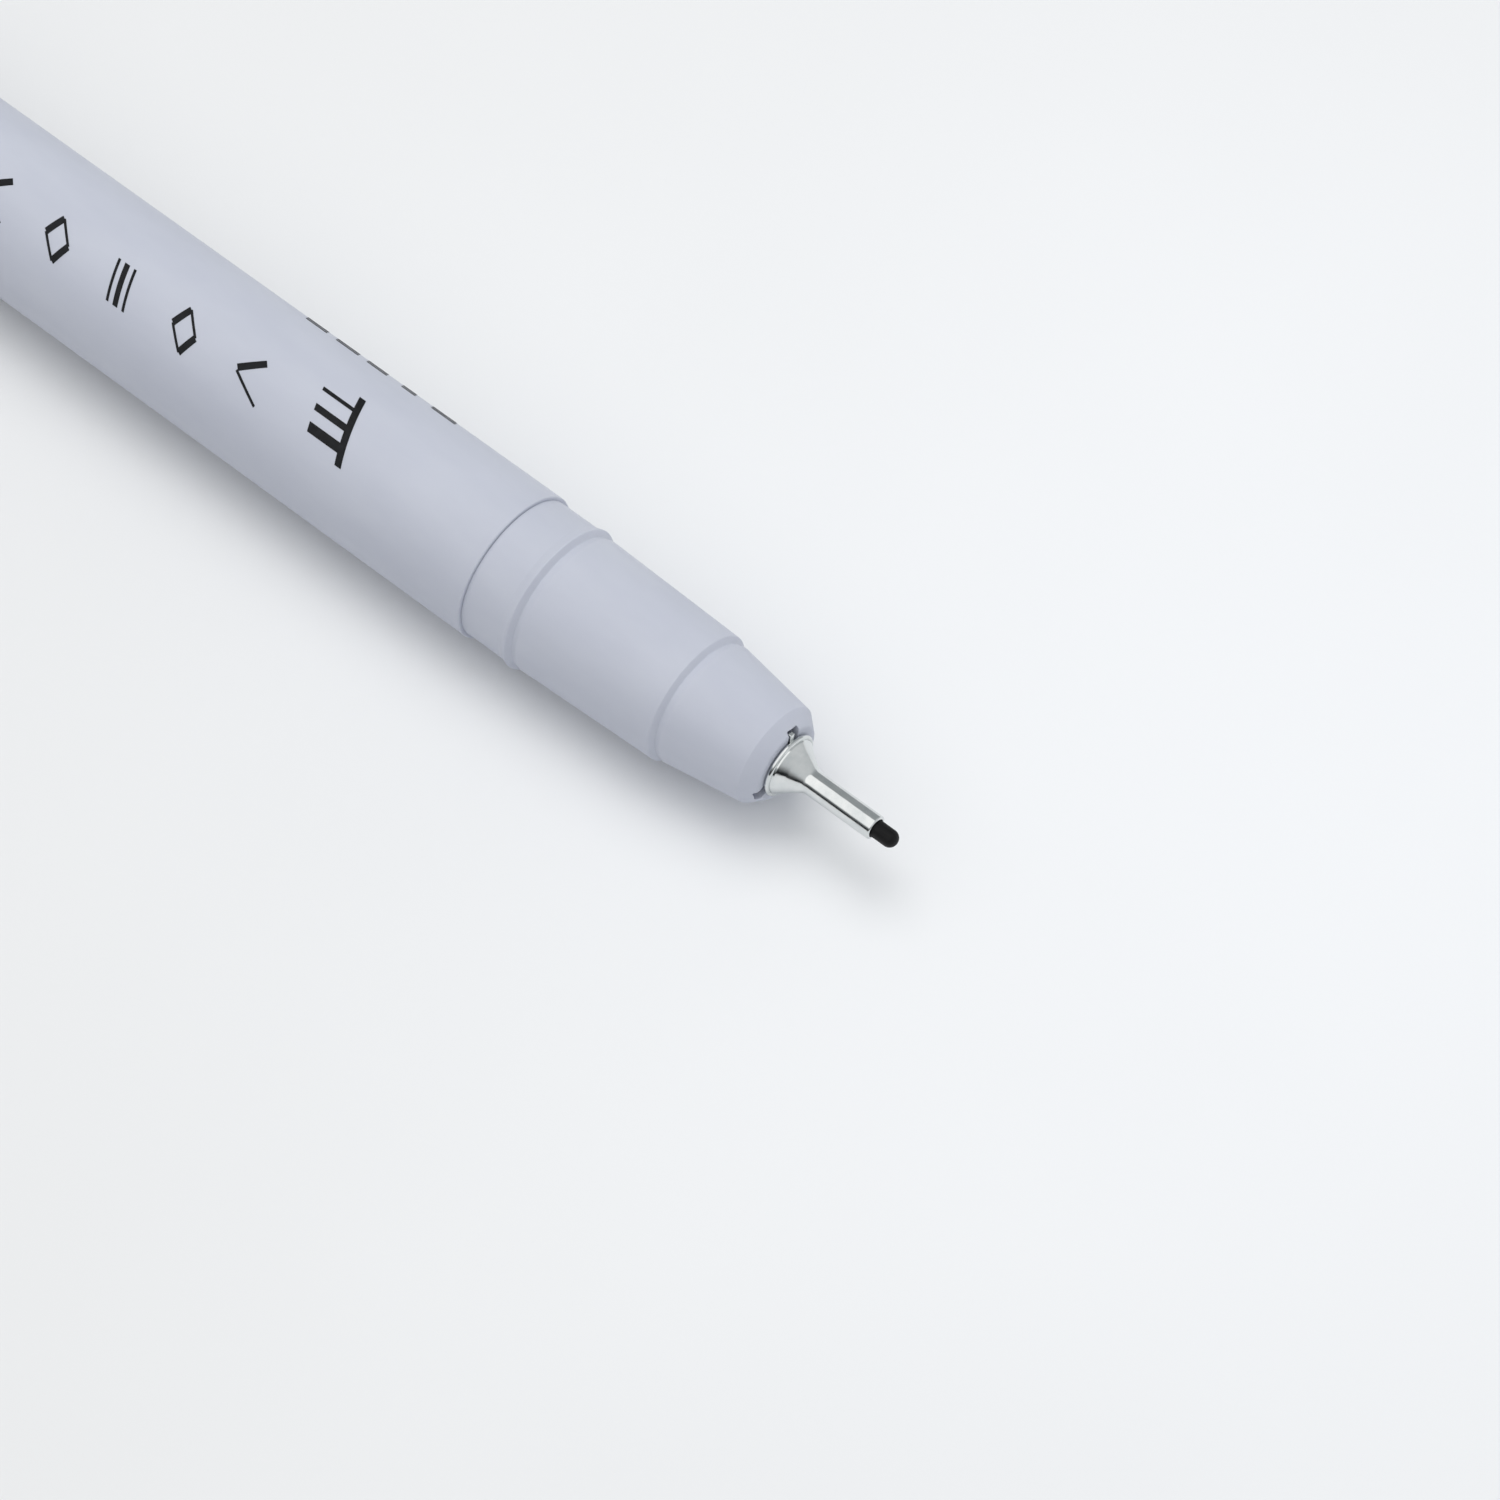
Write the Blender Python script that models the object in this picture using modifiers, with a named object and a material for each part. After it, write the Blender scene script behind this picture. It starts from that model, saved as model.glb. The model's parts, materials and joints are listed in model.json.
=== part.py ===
"""A drafting pen with a fibre nib in a needle sleeve, lying on a table with its cap posted on the tail.

Everything turned is drawn as (station, radius) pairs. A station is a distance along the pen's axis from the
barrel's front rim, positive towards the nib, and the cap's stations run from its own mouth in the same way.
"""

import math

import bmesh
import bpy
from mathutils import Vector

MM = 0.001

# Driving dimensions
SEGMENTS = 32
FACET = 2 * math.pi / SEGMENTS
SHARP_ANGLE = math.radians(35)
ARC_STEP = math.radians(30)
MERGE_DISTANCE = 1e-6
BARREL_RADIUS = 5.0 * MM
BARREL_BORE = 4.1 * MM
BARREL_LENGTH = 90.0 * MM
CAP_RADIUS = 5.7 * MM
CAP_BORE = 4.88 * MM
CAP_LENGTH = 36.0 * MM
FIT = 0.05 * MM  # between pieces pressed into each other
SEAM = 0.12 * MM  # the shadow line between the barrel's rim and what plugs it
EDGE_ROUND = 0.12 * MM  # on an edge that a finger meets
INNER_ROUND = 0.2 * MM  # on an edge inside
FINE_ROUND = 0.06 * MM  # on a collar's edge
CAP_ROUND = 0.3 * MM

# The section that the fingers hold
COLLAR_RADIUS = 4.77 * MM
BEAD_RADIUS = 4.83 * MM
BEAD_STATION = 3.05 * MM
BEAD_WIDTH = 1.0 * MM
GRIP_START_RADIUS = 4.68 * MM
GRIP_END_RADIUS = 4.375 * MM
GRIP_END = 14.2 * MM
CONE_START_RADIUS = 4.13 * MM
CONE_START = 14.75 * MM
CONE_END_RADIUS = 3.35 * MM
CONE_END = 20.25 * MM
NOSE_FACE = 21.15 * MM
NOSE_FACE_RADIUS = 2.55 * MM
CONE_ROUND = 0.25 * MM
GRIP_END_ROUND = 0.3 * MM
BEAD_DROP = 0.03 * MM
BEAD_STEP = 0.12 * MM
SPIGOT_LENGTH = 8.0 * MM
SECTION_CHAMBER = 2.9 * MM
SECTION_CHAMBER_END = 9.0 * MM
CHAMBER_TAPER = 1.3 * MM
VENT_COUNT = 3
VENT_ANGLE = math.radians(79)
VENT_WIDTH = 0.62 * MM
VENT_DEPTH = 0.85 * MM
VENT_REACH = 2.72 * MM
VENT_OVERLAP = 0.3 * MM  # how far a vent cuts into the bore

# The needle sleeve and what it holds
SLEEVE_WALL = 0.18 * MM
SKIRT_RADIUS = 1.5 * MM
SKIRT_START = 12.0 * MM
RIM_RADIUS = 2.11 * MM
RIM_THICKNESS = 0.3 * MM
RIM_CHAMFER = 0.08 * MM
RIM_LAND = 0.1 * MM
SLEEVE_END_ROUND = 0.08 * MM
FUNNEL_ROUND = 0.5 * MM
FUNNEL_BORE_STEP = 0.25 * MM
NEEDLE_RADIUS = 0.79 * MM
NEEDLE_START = 23.05 * MM
NEEDLE_END = 28.0 * MM
NIB_RADIUS = 0.56 * MM
NIB_TIP = 29.55 * MM
NIB_REAR = 5.0 * MM
NIB_POINT = 1.2 * MM  # the length of its pointed rear end
REAR_POINT_SHARE = 0.35
NIB_END_SHARE = 0.98  # of its radius, rounded away at the tip
GUIDE_INSET = 0.6 * MM
RELAY_RADIUS = 1.25 * MM
RELAY_FRONT = 8.5 * MM
RELAY_REAR = -18.0 * MM
RELAY_POINT = 1.5 * MM
RELAY_POINT_SHARE = 0.4
RELAY_ROUND = 0.15 * MM
SOCKET_FLOOR = 0.2 * MM
HOLDER_REAR = -3.0 * MM
HOLDER_SETBACK = 0.5 * MM
HOLDER_FLANGE = 1.2 * MM
HOLDER_WAIST_STEP = 0.7 * MM

# The ink store
STORE_RADIUS = 3.55 * MM
STORE_FRONT = -8.6 * MM
STORE_REAR = -79.4 * MM
FILM_WALL = 0.15 * MM
RIB_COUNT = 4
RIB_WIDTH = 0.7 * MM
RIB_CLEARANCE = 0.1 * MM
RIB_SETBACK = 1.0 * MM
RIB_ROOT = 0.3 * MM  # how far a rib runs into the wall
FILM_SETBACK = 0.3 * MM

# The tail, on which the cap is posted
POST_LENGTH = 12.0 * MM
TAIL_PLUG_DEPTH = 10.0 * MM
TAIL_HOLLOW = 3.2 * MM
TAIL_WALL = 1.4 * MM
TAIL_VENT = 0.45 * MM
POST_TAPER = 0.08 * MM
POST_ROUND = 0.9 * MM
HOLLOW_ROUND = 0.6 * MM
NOTCH_WIDTH = 2.0 * MM
NOTCH_DEPTH = 2.5 * MM

# The cap's end, groove and liner
CAP_END_WALL = 2.4 * MM
CROWN_THICKNESS = 1.6 * MM
CROWN_RADIUS = 5.5 * MM
CROWN_SPIGOT = 3.4 * MM
CROWN_EDGE = 0.35 * MM
GROOVE_RADIUS = 4.96 * MM
GROOVE_HALF = 0.3 * MM
GROOVE_SLOPE = 0.5 * MM
LINER_MOUTH = -12.8 * MM
LINER_SEAL = 4.46 * MM
LINER_SEAL_END = -14.4 * MM
LINER_SEAL_END_RADIUS = 4.42 * MM
LINER_CONE = -15.2 * MM
LINER_CONE_RADIUS = 4.22 * MM
LINER_CONE_END = -21.0 * MM
LINER_CONE_END_RADIUS = 3.4 * MM
LINER_STEP = -22.5 * MM
LINER_STEP_LENGTH = 1.0 * MM
LINER_NECK_RADIUS = 3.0 * MM
LINER_WELL = -23.6 * MM
LINER_WELL_RADIUS = 1.7 * MM
LINER_FLOOR = 0.9 * MM
LINER_END_ROUND = 0.4 * MM

# The pocket clip
CLIP_THICKNESS = 0.5 * MM
CLIP_HALF_WIDTH = 1.8 * MM
CLIP_CREST = 7.65 * MM
CLIP_TOUCH_STATION = -4.6 * MM
CLIP_END_GAP = 0.15 * MM
CLIP_TONGUE_END = 3.75 * MM
CLIP_SWING_ROOM = 0.3 * MM
CLIP_SLOT_SIDE_ROOM = 0.1 * MM
CLIP_SLOT_DEPTH_ROOM = 0.5 * MM
CLIP_ROOT_GAP = 0.02 * MM
CLIP_ROOT_BEND = 0.75 * MM
CLIP_ARM_END = 5.4 * MM  # how far behind its touch point the straight arm stops
CLIP_ARM_BEND = 3.0 * MM
CLIP_TOUCH_LENGTH = 1.2 * MM
CLIP_TOUCH_BEND = 1.6 * MM
CLIP_LIP_LENGTH = 1.3 * MM
CLIP_LIP_RISE = 0.9 * MM
CLIP_PIVOT_RISE = 0.3 * MM

# How the pen lies: the cap is fatter than the barrel, so the nose points slightly down, and the pen has
# rolled until the clip's edge meets the table
LENGTH_AHEAD = NIB_TIP
LENGTH_BEHIND = BARREL_LENGTH + SEAM + CAP_LENGTH
TILT = math.atan((CAP_RADIUS - BARREL_RADIUS) / BARREL_LENGTH)
MIDDLE = (LENGTH_BEHIND - LENGTH_AHEAD) / 2 * math.cos(TILT)
AXIS_HEIGHT = BARREL_RADIUS * math.cos(TILT)
CAP_TURN = 11 * FACET
CLIP_REACH = CLIP_CREST * math.sin(CAP_TURN) - CLIP_HALF_WIDTH * math.cos(CAP_TURN)
AXIS_SIDE = (CLIP_REACH - CAP_RADIUS) / 2

MATERIALS = {
    "lilac_plastic": ((0.53, 0.56, 0.64), 0.42, 0.0),
    "polished_steel": ((0.74, 0.75, 0.74), 0.14, 1.0),
    "black_fibre": ((0.012, 0.012, 0.014), 0.6, 0.0),
    "inked_fibre": ((0.03, 0.03, 0.04), 0.9, 0.0),
    "clear_film": ((0.75, 0.78, 0.8), 0.2, 0.0),
    "natural_plastic": ((0.8, 0.8, 0.78), 0.5, 0.0),
}


def clear_scene():
    """Removes every object that the file opened with."""
    for obj in list(bpy.data.objects):
        bpy.data.objects.remove(obj, do_unlink=True)


def collection(name):
    """A new collection in the scene."""
    made = bpy.data.collections.new(name)
    bpy.context.scene.collection.children.link(made)
    return made


def material(name):
    """The named Principled material, made once."""
    found = bpy.data.materials.get(name)
    if found:
        return found
    colour, roughness, metallic = MATERIALS[name]
    made = bpy.data.materials.new(name)
    made.use_nodes = True
    shader = made.node_tree.nodes["Principled BSDF"]
    shader.inputs["Base Color"].default_value = (*colour, 1.0)
    shader.inputs["Roughness"].default_value = roughness
    shader.inputs["Metallic"].default_value = metallic
    return made


def guide(name, parent, location, rotation=(0, 0, 0)):
    """An empty that carries pieces."""
    empty = bpy.data.objects.new(name, None)
    PARTS.objects.link(empty)
    empty.parent = parent
    empty.location = location
    empty.rotation_euler = rotation
    return empty


def rounded(corners, closed=True):
    """The outline through (x, y, fillet) corners, with each fillet as an arc of short chords."""
    count = len(corners)
    outline = []
    for i, (x, y, fillet) in enumerate(corners):
        here = Vector((x, y))
        if not fillet or (not closed and i in (0, count - 1)):
            outline.append(here)
            continue
        back = (Vector(corners[i - 1][:2]) - here).normalized()
        on = (Vector(corners[(i + 1) % count][:2]) - here).normalized()
        half = back.angle(on) / 2
        start = here + back * (fillet / math.tan(half))
        end = here + on * (fillet / math.tan(half))
        centre = here + (back + on).normalized() * (fillet / math.sin(half))
        swing = (start - centre).angle_signed(end - centre)
        steps = max(2, math.ceil(abs(swing) / ARC_STEP))
        spoke = start - centre
        for k in range(steps + 1):
            turn = -swing * k / steps
            arm = Vector((spoke.x * math.cos(turn) - spoke.y * math.sin(turn),
                          spoke.x * math.sin(turn) + spoke.y * math.cos(turn)))
            outline.append(centre + arm)
    return outline


def turned(name, corners, finish, parent):
    """A turned piece. Corners are (station, radius, fillet), from the nib end back along the outside.

    They go on along the bore, or along the axis, to where they began.
    One facet faces straight down and its middle is at the stated radius, so that the piece can rest on it.
    """
    outline = rounded(corners)
    corner_share = 1 / math.cos(FACET / 2)
    profile = bpy.data.meshes.new(name)
    shape = bmesh.new()
    points = []
    for station, radius in outline:
        out = radius * corner_share
        points.append(shape.verts.new((out * math.cos(FACET / 2), out * math.sin(FACET / 2), station)))
    for a, b, start, end in zip(points, points[1:] + points[:1], outline, outline[1:] + outline[:1]):
        if start.y or end.y:
            shape.edges.new((a, b))
    shape.to_mesh(profile)
    shape.free()
    obj = bpy.data.objects.new(name, profile)
    PARTS.objects.link(obj)
    obj.parent = parent
    obj.rotation_euler = (0, math.pi / 2, 0)
    screw = obj.modifiers.new("turn", "SCREW")
    screw.axis = "Z"
    screw.angle = 2 * math.pi
    screw.steps = SEGMENTS
    screw.render_steps = SEGMENTS
    screw.use_merge_vertices = True
    screw.merge_threshold = MERGE_DISTANCE
    profile.materials.append(material(finish))
    return obj


def box(name, size, location, parent, rotation=(0, 0, 0)):
    """A hidden block of a size, centred at a location, to cut or join with."""
    mesh = bpy.data.meshes.new(name)
    shape = bmesh.new()
    bmesh.ops.create_cube(shape, size=1.0)
    bmesh.ops.scale(shape, vec=size, verts=shape.verts)
    bmesh.ops.translate(shape, vec=location, verts=shape.verts)
    shape.to_mesh(mesh)
    shape.free()
    obj = bpy.data.objects.new(name, mesh)
    CUTTERS.objects.link(obj)
    obj.parent = parent
    obj.rotation_euler = rotation
    obj.hide_render = True
    obj.display_type = "WIRE"
    return obj


def boolean(obj, tool, operation):
    """Cuts or joins obj with a tool."""
    step = obj.modifiers.new(tool.name, "BOOLEAN")
    step.operation = operation
    step.object = tool


def apply_and_shade(obj):
    """Gives a mesh object its finished mesh, smooth across its facets and sharp at its corners."""
    graph = bpy.context.evaluated_depsgraph_get()
    mesh = bpy.data.meshes.new_from_object(obj.evaluated_get(graph))
    mesh.shade_smooth()
    mesh.set_sharp_from_angle(angle=SHARP_ANGLE)
    obj.modifiers.clear()
    obj.data = mesh


def round_the_axis(count, first=0.0):
    """Evenly spaced angles round the pen, measured from +Y towards +Z."""
    return [first + 2 * math.pi * k / count for k in range(count)]


def barrel(axis):
    """The tube that the hand rests on, with ribs inside that hold the ink store in the middle."""
    corners = [(0, BARREL_BORE, 0),
               (0, BARREL_RADIUS, EDGE_ROUND),
               (-BARREL_LENGTH, BARREL_RADIUS, EDGE_ROUND),
               (-BARREL_LENGTH, BARREL_BORE, 0)]
    tube = turned("barrel", corners, "lilac_plastic", axis)
    rear = -BARREL_LENGTH + TAIL_PLUG_DEPTH + RIB_SETBACK
    front = -SPIGOT_LENGTH - RIB_SETBACK
    inner = STORE_RADIUS + FIT + FILM_WALL + RIB_CLEARANCE
    outer = BARREL_BORE + RIB_ROOT
    for k, angle in enumerate(round_the_axis(RIB_COUNT, math.pi / 4)):
        rib = box(f"rib_{k}", (front - rear, outer - inner, RIB_WIDTH),
                  ((front + rear) / 2, (inner + outer) / 2, 0), axis, (angle, 0, 0))
        boolean(tube, rib, "UNION")
    return tube


def grip_section(axis):
    """The front moulding: spigot, collar, snap bead, tapered grip, cone and vented nose."""
    corners = [(NOSE_FACE, SKIRT_RADIUS + FIT, 0),
               (NOSE_FACE, NOSE_FACE_RADIUS, EDGE_ROUND),
               (CONE_END, CONE_END_RADIUS, CONE_ROUND),
               (CONE_START, CONE_START_RADIUS, CONE_ROUND),
               (GRIP_END, GRIP_END_RADIUS, GRIP_END_ROUND),
               (BEAD_STATION + BEAD_WIDTH + BEAD_STEP, GRIP_START_RADIUS, 0),
               (BEAD_STATION + BEAD_WIDTH, BEAD_RADIUS - BEAD_DROP, 0),
               (BEAD_STATION + BEAD_WIDTH / 2, BEAD_RADIUS, 0),
               (BEAD_STATION, COLLAR_RADIUS, 0),
               (SEAM, COLLAR_RADIUS, FINE_ROUND),
               (SEAM, BARREL_BORE - FIT, 0),
               (-SPIGOT_LENGTH, BARREL_BORE - FIT, INNER_ROUND),
               (-SPIGOT_LENGTH, SECTION_CHAMBER, 0),
               (SECTION_CHAMBER_END, SECTION_CHAMBER, 0),
               (SECTION_CHAMBER_END + CHAMBER_TAPER, SKIRT_RADIUS + FIT, 0)]
    body = turned("grip_section", corners, "lilac_plastic", axis)
    inner = SKIRT_RADIUS - VENT_OVERLAP
    length = VENT_DEPTH + VENT_OVERLAP
    for k, angle in enumerate(round_the_axis(VENT_COUNT, VENT_ANGLE)):
        slot = box(f"vent_{k}", (length, VENT_REACH - inner, VENT_WIDTH),
                   (NOSE_FACE - VENT_DEPTH + length / 2, (inner + VENT_REACH) / 2, 0), axis, (angle, 0, 0))
        boolean(body, slot, "DIFFERENCE")
    return body


def nib_sleeve(axis):
    """The drawn metal sleeve: a skirt inside the nose, a rim on its face, a funnel and the needle."""
    bore = NEEDLE_RADIUS - SLEEVE_WALL
    rim_back = NOSE_FACE + FIT
    rim_front = rim_back + RIM_THICKNESS
    corners = [(NEEDLE_END, bore, 0),
               (NEEDLE_END, NEEDLE_RADIUS, SLEEVE_END_ROUND),
               (NEEDLE_START, NEEDLE_RADIUS, FUNNEL_ROUND),
               (rim_front + RIM_CHAMFER, RIM_RADIUS - 2 * RIM_LAND, 0),
               (rim_front, RIM_RADIUS - RIM_LAND, 0),
               (rim_front - RIM_CHAMFER, RIM_RADIUS, 0),
               (rim_back, RIM_RADIUS, 0),
               (rim_back, SKIRT_RADIUS, 0),
               (SKIRT_START, SKIRT_RADIUS, FINE_ROUND),
               (SKIRT_START, SKIRT_RADIUS - SLEEVE_WALL, 0),
               (rim_front - RIM_LAND, SKIRT_RADIUS - SLEEVE_WALL, 0),
               (NEEDLE_START - FUNNEL_BORE_STEP, bore, 0)]
    return turned("nib_sleeve", corners, "polished_steel", axis)


def nib(axis):
    """The round-ended fibre rod that draws the line."""
    corners = [(NIB_TIP, 0, 0),
               (NIB_TIP, NIB_RADIUS, NIB_RADIUS * NIB_END_SHARE),
               (NIB_REAR, NIB_RADIUS, 0),
               (NIB_REAR - NIB_POINT, NIB_RADIUS * REAR_POINT_SHARE, 0),
               (NIB_REAR - NIB_POINT, 0, 0)]
    return turned("nib", corners, "black_fibre", axis)


def nib_guide(axis):
    """The plastic bush inside the skirt that keeps the nib on the axis."""
    front = NOSE_FACE - GUIDE_INSET
    rear = SKIRT_START + GUIDE_INSET
    outer = SKIRT_RADIUS - SLEEVE_WALL - FIT
    inner = NIB_RADIUS + FIT
    corners = [(front, inner, 0),
               (front, outer, EDGE_ROUND),
               (rear, outer, EDGE_ROUND),
               (rear, inner, 0)]
    return turned("nib_guide", corners, "natural_plastic", axis)


def ink_relay(axis):
    """The fibre wick that carries ink from the store to the nib, with a socket for the nib's rear end."""
    socket = NIB_RADIUS + FIT
    floor = NIB_REAR - NIB_POINT - SOCKET_FLOOR
    corners = [(RELAY_FRONT, socket, 0),
               (RELAY_FRONT, RELAY_RADIUS, RELAY_ROUND),
               (RELAY_REAR + RELAY_POINT, RELAY_RADIUS, 0),
               (RELAY_REAR, RELAY_RADIUS * RELAY_POINT_SHARE, 0),
               (RELAY_REAR, 0, 0),
               (floor, 0, 0),
               (floor, socket, 0)]
    return turned("ink_relay", corners, "inked_fibre", axis)


def relay_holder(axis):
    """The flanged bush that holds the relay in the section's chamber."""
    outer = SECTION_CHAMBER - FIT
    inner = RELAY_RADIUS + FIT
    front = SECTION_CHAMBER_END - HOLDER_SETBACK
    waist = outer - HOLDER_WAIST_STEP
    corners = [(front, inner, 0),
               (front, outer, RELAY_ROUND),
               (front - HOLDER_FLANGE, outer, 0),
               (front - HOLDER_FLANGE, waist, 0),
               (HOLDER_REAR + HOLDER_FLANGE, waist, 0),
               (HOLDER_REAR + HOLDER_FLANGE, outer, 0),
               (HOLDER_REAR, outer, RELAY_ROUND),
               (HOLDER_REAR, inner, 0)]
    return turned("relay_holder", corners, "natural_plastic", axis)


def ink_reservoir(axis):
    """The bundled fibre rod that stores the ink, pierced by the relay."""
    hole = RELAY_RADIUS + FIT
    floor = RELAY_REAR - SOCKET_FLOOR
    corners = [(STORE_FRONT, hole, 0),
               (STORE_FRONT, STORE_RADIUS, INNER_ROUND),
               (STORE_REAR, STORE_RADIUS, INNER_ROUND),
               (STORE_REAR, 0, 0),
               (floor, 0, 0),
               (floor, RELAY_RADIUS * RELAY_POINT_SHARE + FIT, 0),
               (floor + RELAY_POINT, hole, 0)]
    return turned("ink_reservoir", corners, "inked_fibre", axis)


def reservoir_film(axis):
    """The film sheath wrapped round the ink store."""
    inner = STORE_RADIUS + FIT
    corners = [(STORE_FRONT + FILM_SETBACK, inner, 0),
               (STORE_FRONT + FILM_SETBACK, inner + FILM_WALL, 0),
               (STORE_REAR - FILM_SETBACK, inner + FILM_WALL, 0),
               (STORE_REAR - FILM_SETBACK, inner, 0)]
    return turned("reservoir_film", corners, "clear_film", axis)


def tail_plug(axis):
    """The plug that closes the barrel and carries the cap. Its notched front edge stops the ink store."""
    shoulder = -BARREL_LENGTH
    end = shoulder - POST_LENGTH
    front = shoulder + TAIL_PLUG_DEPTH
    bead = shoulder - BEAD_STATION
    corners = [(front, TAIL_HOLLOW, 0),
               (front, BARREL_BORE - FIT, INNER_ROUND),
               (shoulder - SEAM, BARREL_BORE - FIT, 0),
               (shoulder - SEAM, COLLAR_RADIUS, FINE_ROUND),
               (bead, COLLAR_RADIUS, 0),
               (bead - BEAD_WIDTH / 2, BEAD_RADIUS, 0),
               (bead - BEAD_WIDTH, BEAD_RADIUS - BEAD_DROP, 0),
               (bead - BEAD_WIDTH - BEAD_STEP, GRIP_START_RADIUS, 0),
               (end, GRIP_START_RADIUS - POST_TAPER, POST_ROUND),
               (end, TAIL_VENT, 0),
               (end + TAIL_WALL, TAIL_VENT, 0),
               (end + TAIL_WALL, TAIL_HOLLOW, HOLLOW_ROUND)]
    plug = turned("tail_plug", corners, "lilac_plastic", axis)
    for k in range(2):
        notch = box(f"tail_notch_{k}", (NOTCH_DEPTH * 2, BARREL_RADIUS * 2, NOTCH_WIDTH),
                    (front, 0, 0), axis, (k * math.pi / 2, 0, 0))
        boolean(plug, notch, "DIFFERENCE")
    return plug


def cap_shell(cap):
    """The cap's outer moulding, with a snap groove in its bore and a slot in its end for the clip."""
    end = -CAP_LENGTH + CROWN_THICKNESS
    wall = end + CAP_END_WALL
    groove = -BEAD_STATION - BEAD_WIDTH / 2
    corners = [(0, CAP_BORE, EDGE_ROUND),
               (0, CAP_RADIUS, INNER_ROUND),
               (end, CAP_RADIUS, EDGE_ROUND),
               (end, CROWN_SPIGOT + FIT, 0),
               (wall, CROWN_SPIGOT + FIT, 0),
               (wall, CAP_BORE, CAP_ROUND),
               (groove - GROOVE_HALF - GROOVE_SLOPE, CAP_BORE, 0),
               (groove - GROOVE_HALF, GROOVE_RADIUS, 0),
               (groove + GROOVE_HALF, GROOVE_RADIUS, 0),
               (groove + GROOVE_HALF + GROOVE_SLOPE, CAP_BORE, 0)]
    shell = turned("cap_shell", corners, "lilac_plastic", cap)
    depth = CLIP_THICKNESS + CLIP_SWING_ROOM
    width = (CLIP_HALF_WIDTH + CLIP_SLOT_SIDE_ROOM) * 2
    bottom = CROWN_SPIGOT - CLIP_SLOT_DEPTH_ROOM
    slot = box("clip_slot", (depth * 2, width, CAP_RADIUS), (end, 0, bottom + CAP_RADIUS / 2), cap)
    boolean(shell, slot, "DIFFERENCE")
    return shell


def cap_liner(cap):
    """The inner cap, a soft cup that seals on the section's cone and keeps the nib wet."""
    outer = CAP_BORE - FIT
    end = -CAP_LENGTH + CROWN_THICKNESS + CAP_END_WALL + SEAM
    corners = [(LINER_MOUTH, LINER_SEAL, FINE_ROUND),
               (LINER_MOUTH, outer, EDGE_ROUND),
               (LINER_STEP, outer, CAP_ROUND),
               (LINER_STEP - LINER_STEP_LENGTH, LINER_NECK_RADIUS, CAP_ROUND),
               (end, LINER_NECK_RADIUS, LINER_END_ROUND),
               (end, 0, 0),
               (end + LINER_FLOOR, 0, 0),
               (end + LINER_FLOOR, LINER_WELL_RADIUS, CAP_ROUND),
               (LINER_WELL, LINER_WELL_RADIUS, CAP_ROUND),
               (LINER_CONE_END, LINER_CONE_END_RADIUS, INNER_ROUND),
               (LINER_CONE, LINER_CONE_RADIUS, INNER_ROUND),
               (LINER_SEAL_END, LINER_SEAL_END_RADIUS, 0)]
    return turned("cap_liner", corners, "natural_plastic", cap)


def cap_crown(cap):
    """The plug that closes the cap's end and traps the clip's tongue."""
    face = -CAP_LENGTH
    seat = face + CROWN_THICKNESS - FIT
    inner_end = seat + CAP_END_WALL - CLIP_SWING_ROOM
    corners = [(inner_end, 0, 0),
               (inner_end, CROWN_SPIGOT, INNER_ROUND),
               (seat, CROWN_SPIGOT, 0),
               (seat, CROWN_RADIUS, EDGE_ROUND),
               (face, CROWN_RADIUS - CROWN_EDGE, CROWN_EDGE),
               (face, 0, 0)]
    return turned("cap_crown", corners, "lilac_plastic", cap)


def clip_centreline():
    """The clip's middle line as (station, radius, bend), from its tongue round to its free end."""
    half = CLIP_THICKNESS / 2
    tongue = -CAP_LENGTH + CROWN_THICKNESS + half + CLIP_ROOT_GAP
    arm = CLIP_CREST - half
    touch = CAP_RADIUS + CLIP_END_GAP + half
    return [(tongue, CLIP_TONGUE_END, 0),
            (tongue, arm, CLIP_ROOT_BEND),
            (CLIP_TOUCH_STATION - CLIP_ARM_END, arm, CLIP_ARM_BEND),
            (CLIP_TOUCH_STATION - CLIP_TOUCH_LENGTH, touch, CLIP_TOUCH_BEND),
            (CLIP_TOUCH_STATION + CLIP_LIP_LENGTH, touch + CLIP_LIP_RISE, 0)]


def pocket_clip(pivot, hinge):
    """The sprung strip, drawn from the side as a bent strip and given its width by extrusion."""
    middle = rounded(clip_centreline(), closed=False)
    half = CLIP_THICKNESS / 2
    sides = []
    for i, here in enumerate(middle):
        before = middle[max(i - 1, 0)]
        after = middle[min(i + 1, len(middle) - 1)]
        back = (here - before).normalized() if i else (after - here).normalized()
        on = (after - here).normalized() if i < len(middle) - 1 else back
        along = (back + on).normalized()
        spread = half / max(along.dot(on), 0.5)
        normal = Vector((-along.y, along.x))
        sides.append((here + normal * spread, here - normal * spread))
    outline = [left for left, _ in sides] + [right for _, right in reversed(sides)]
    curve = bpy.data.curves.new("pocket_clip", "CURVE")
    curve.dimensions = "2D"
    curve.fill_mode = "BOTH"
    curve.extrude = CLIP_HALF_WIDTH
    spline = curve.splines.new("POLY")
    spline.points.add(len(outline) - 1)
    for point, at in zip(spline.points, outline):
        point.co = (at.x - hinge[0], at.y - hinge[1], 0, 1)
    spline.use_cyclic_u = True
    curve.materials.append(material("polished_steel"))
    obj = bpy.data.objects.new("pocket_clip", curve)
    PARTS.objects.link(obj)
    obj.parent = pivot
    obj.rotation_euler = (math.pi / 2, 0, 0)
    return obj


clear_scene()
PARTS = collection("technical_pen")
CUTTERS = collection("cutters")

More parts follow.
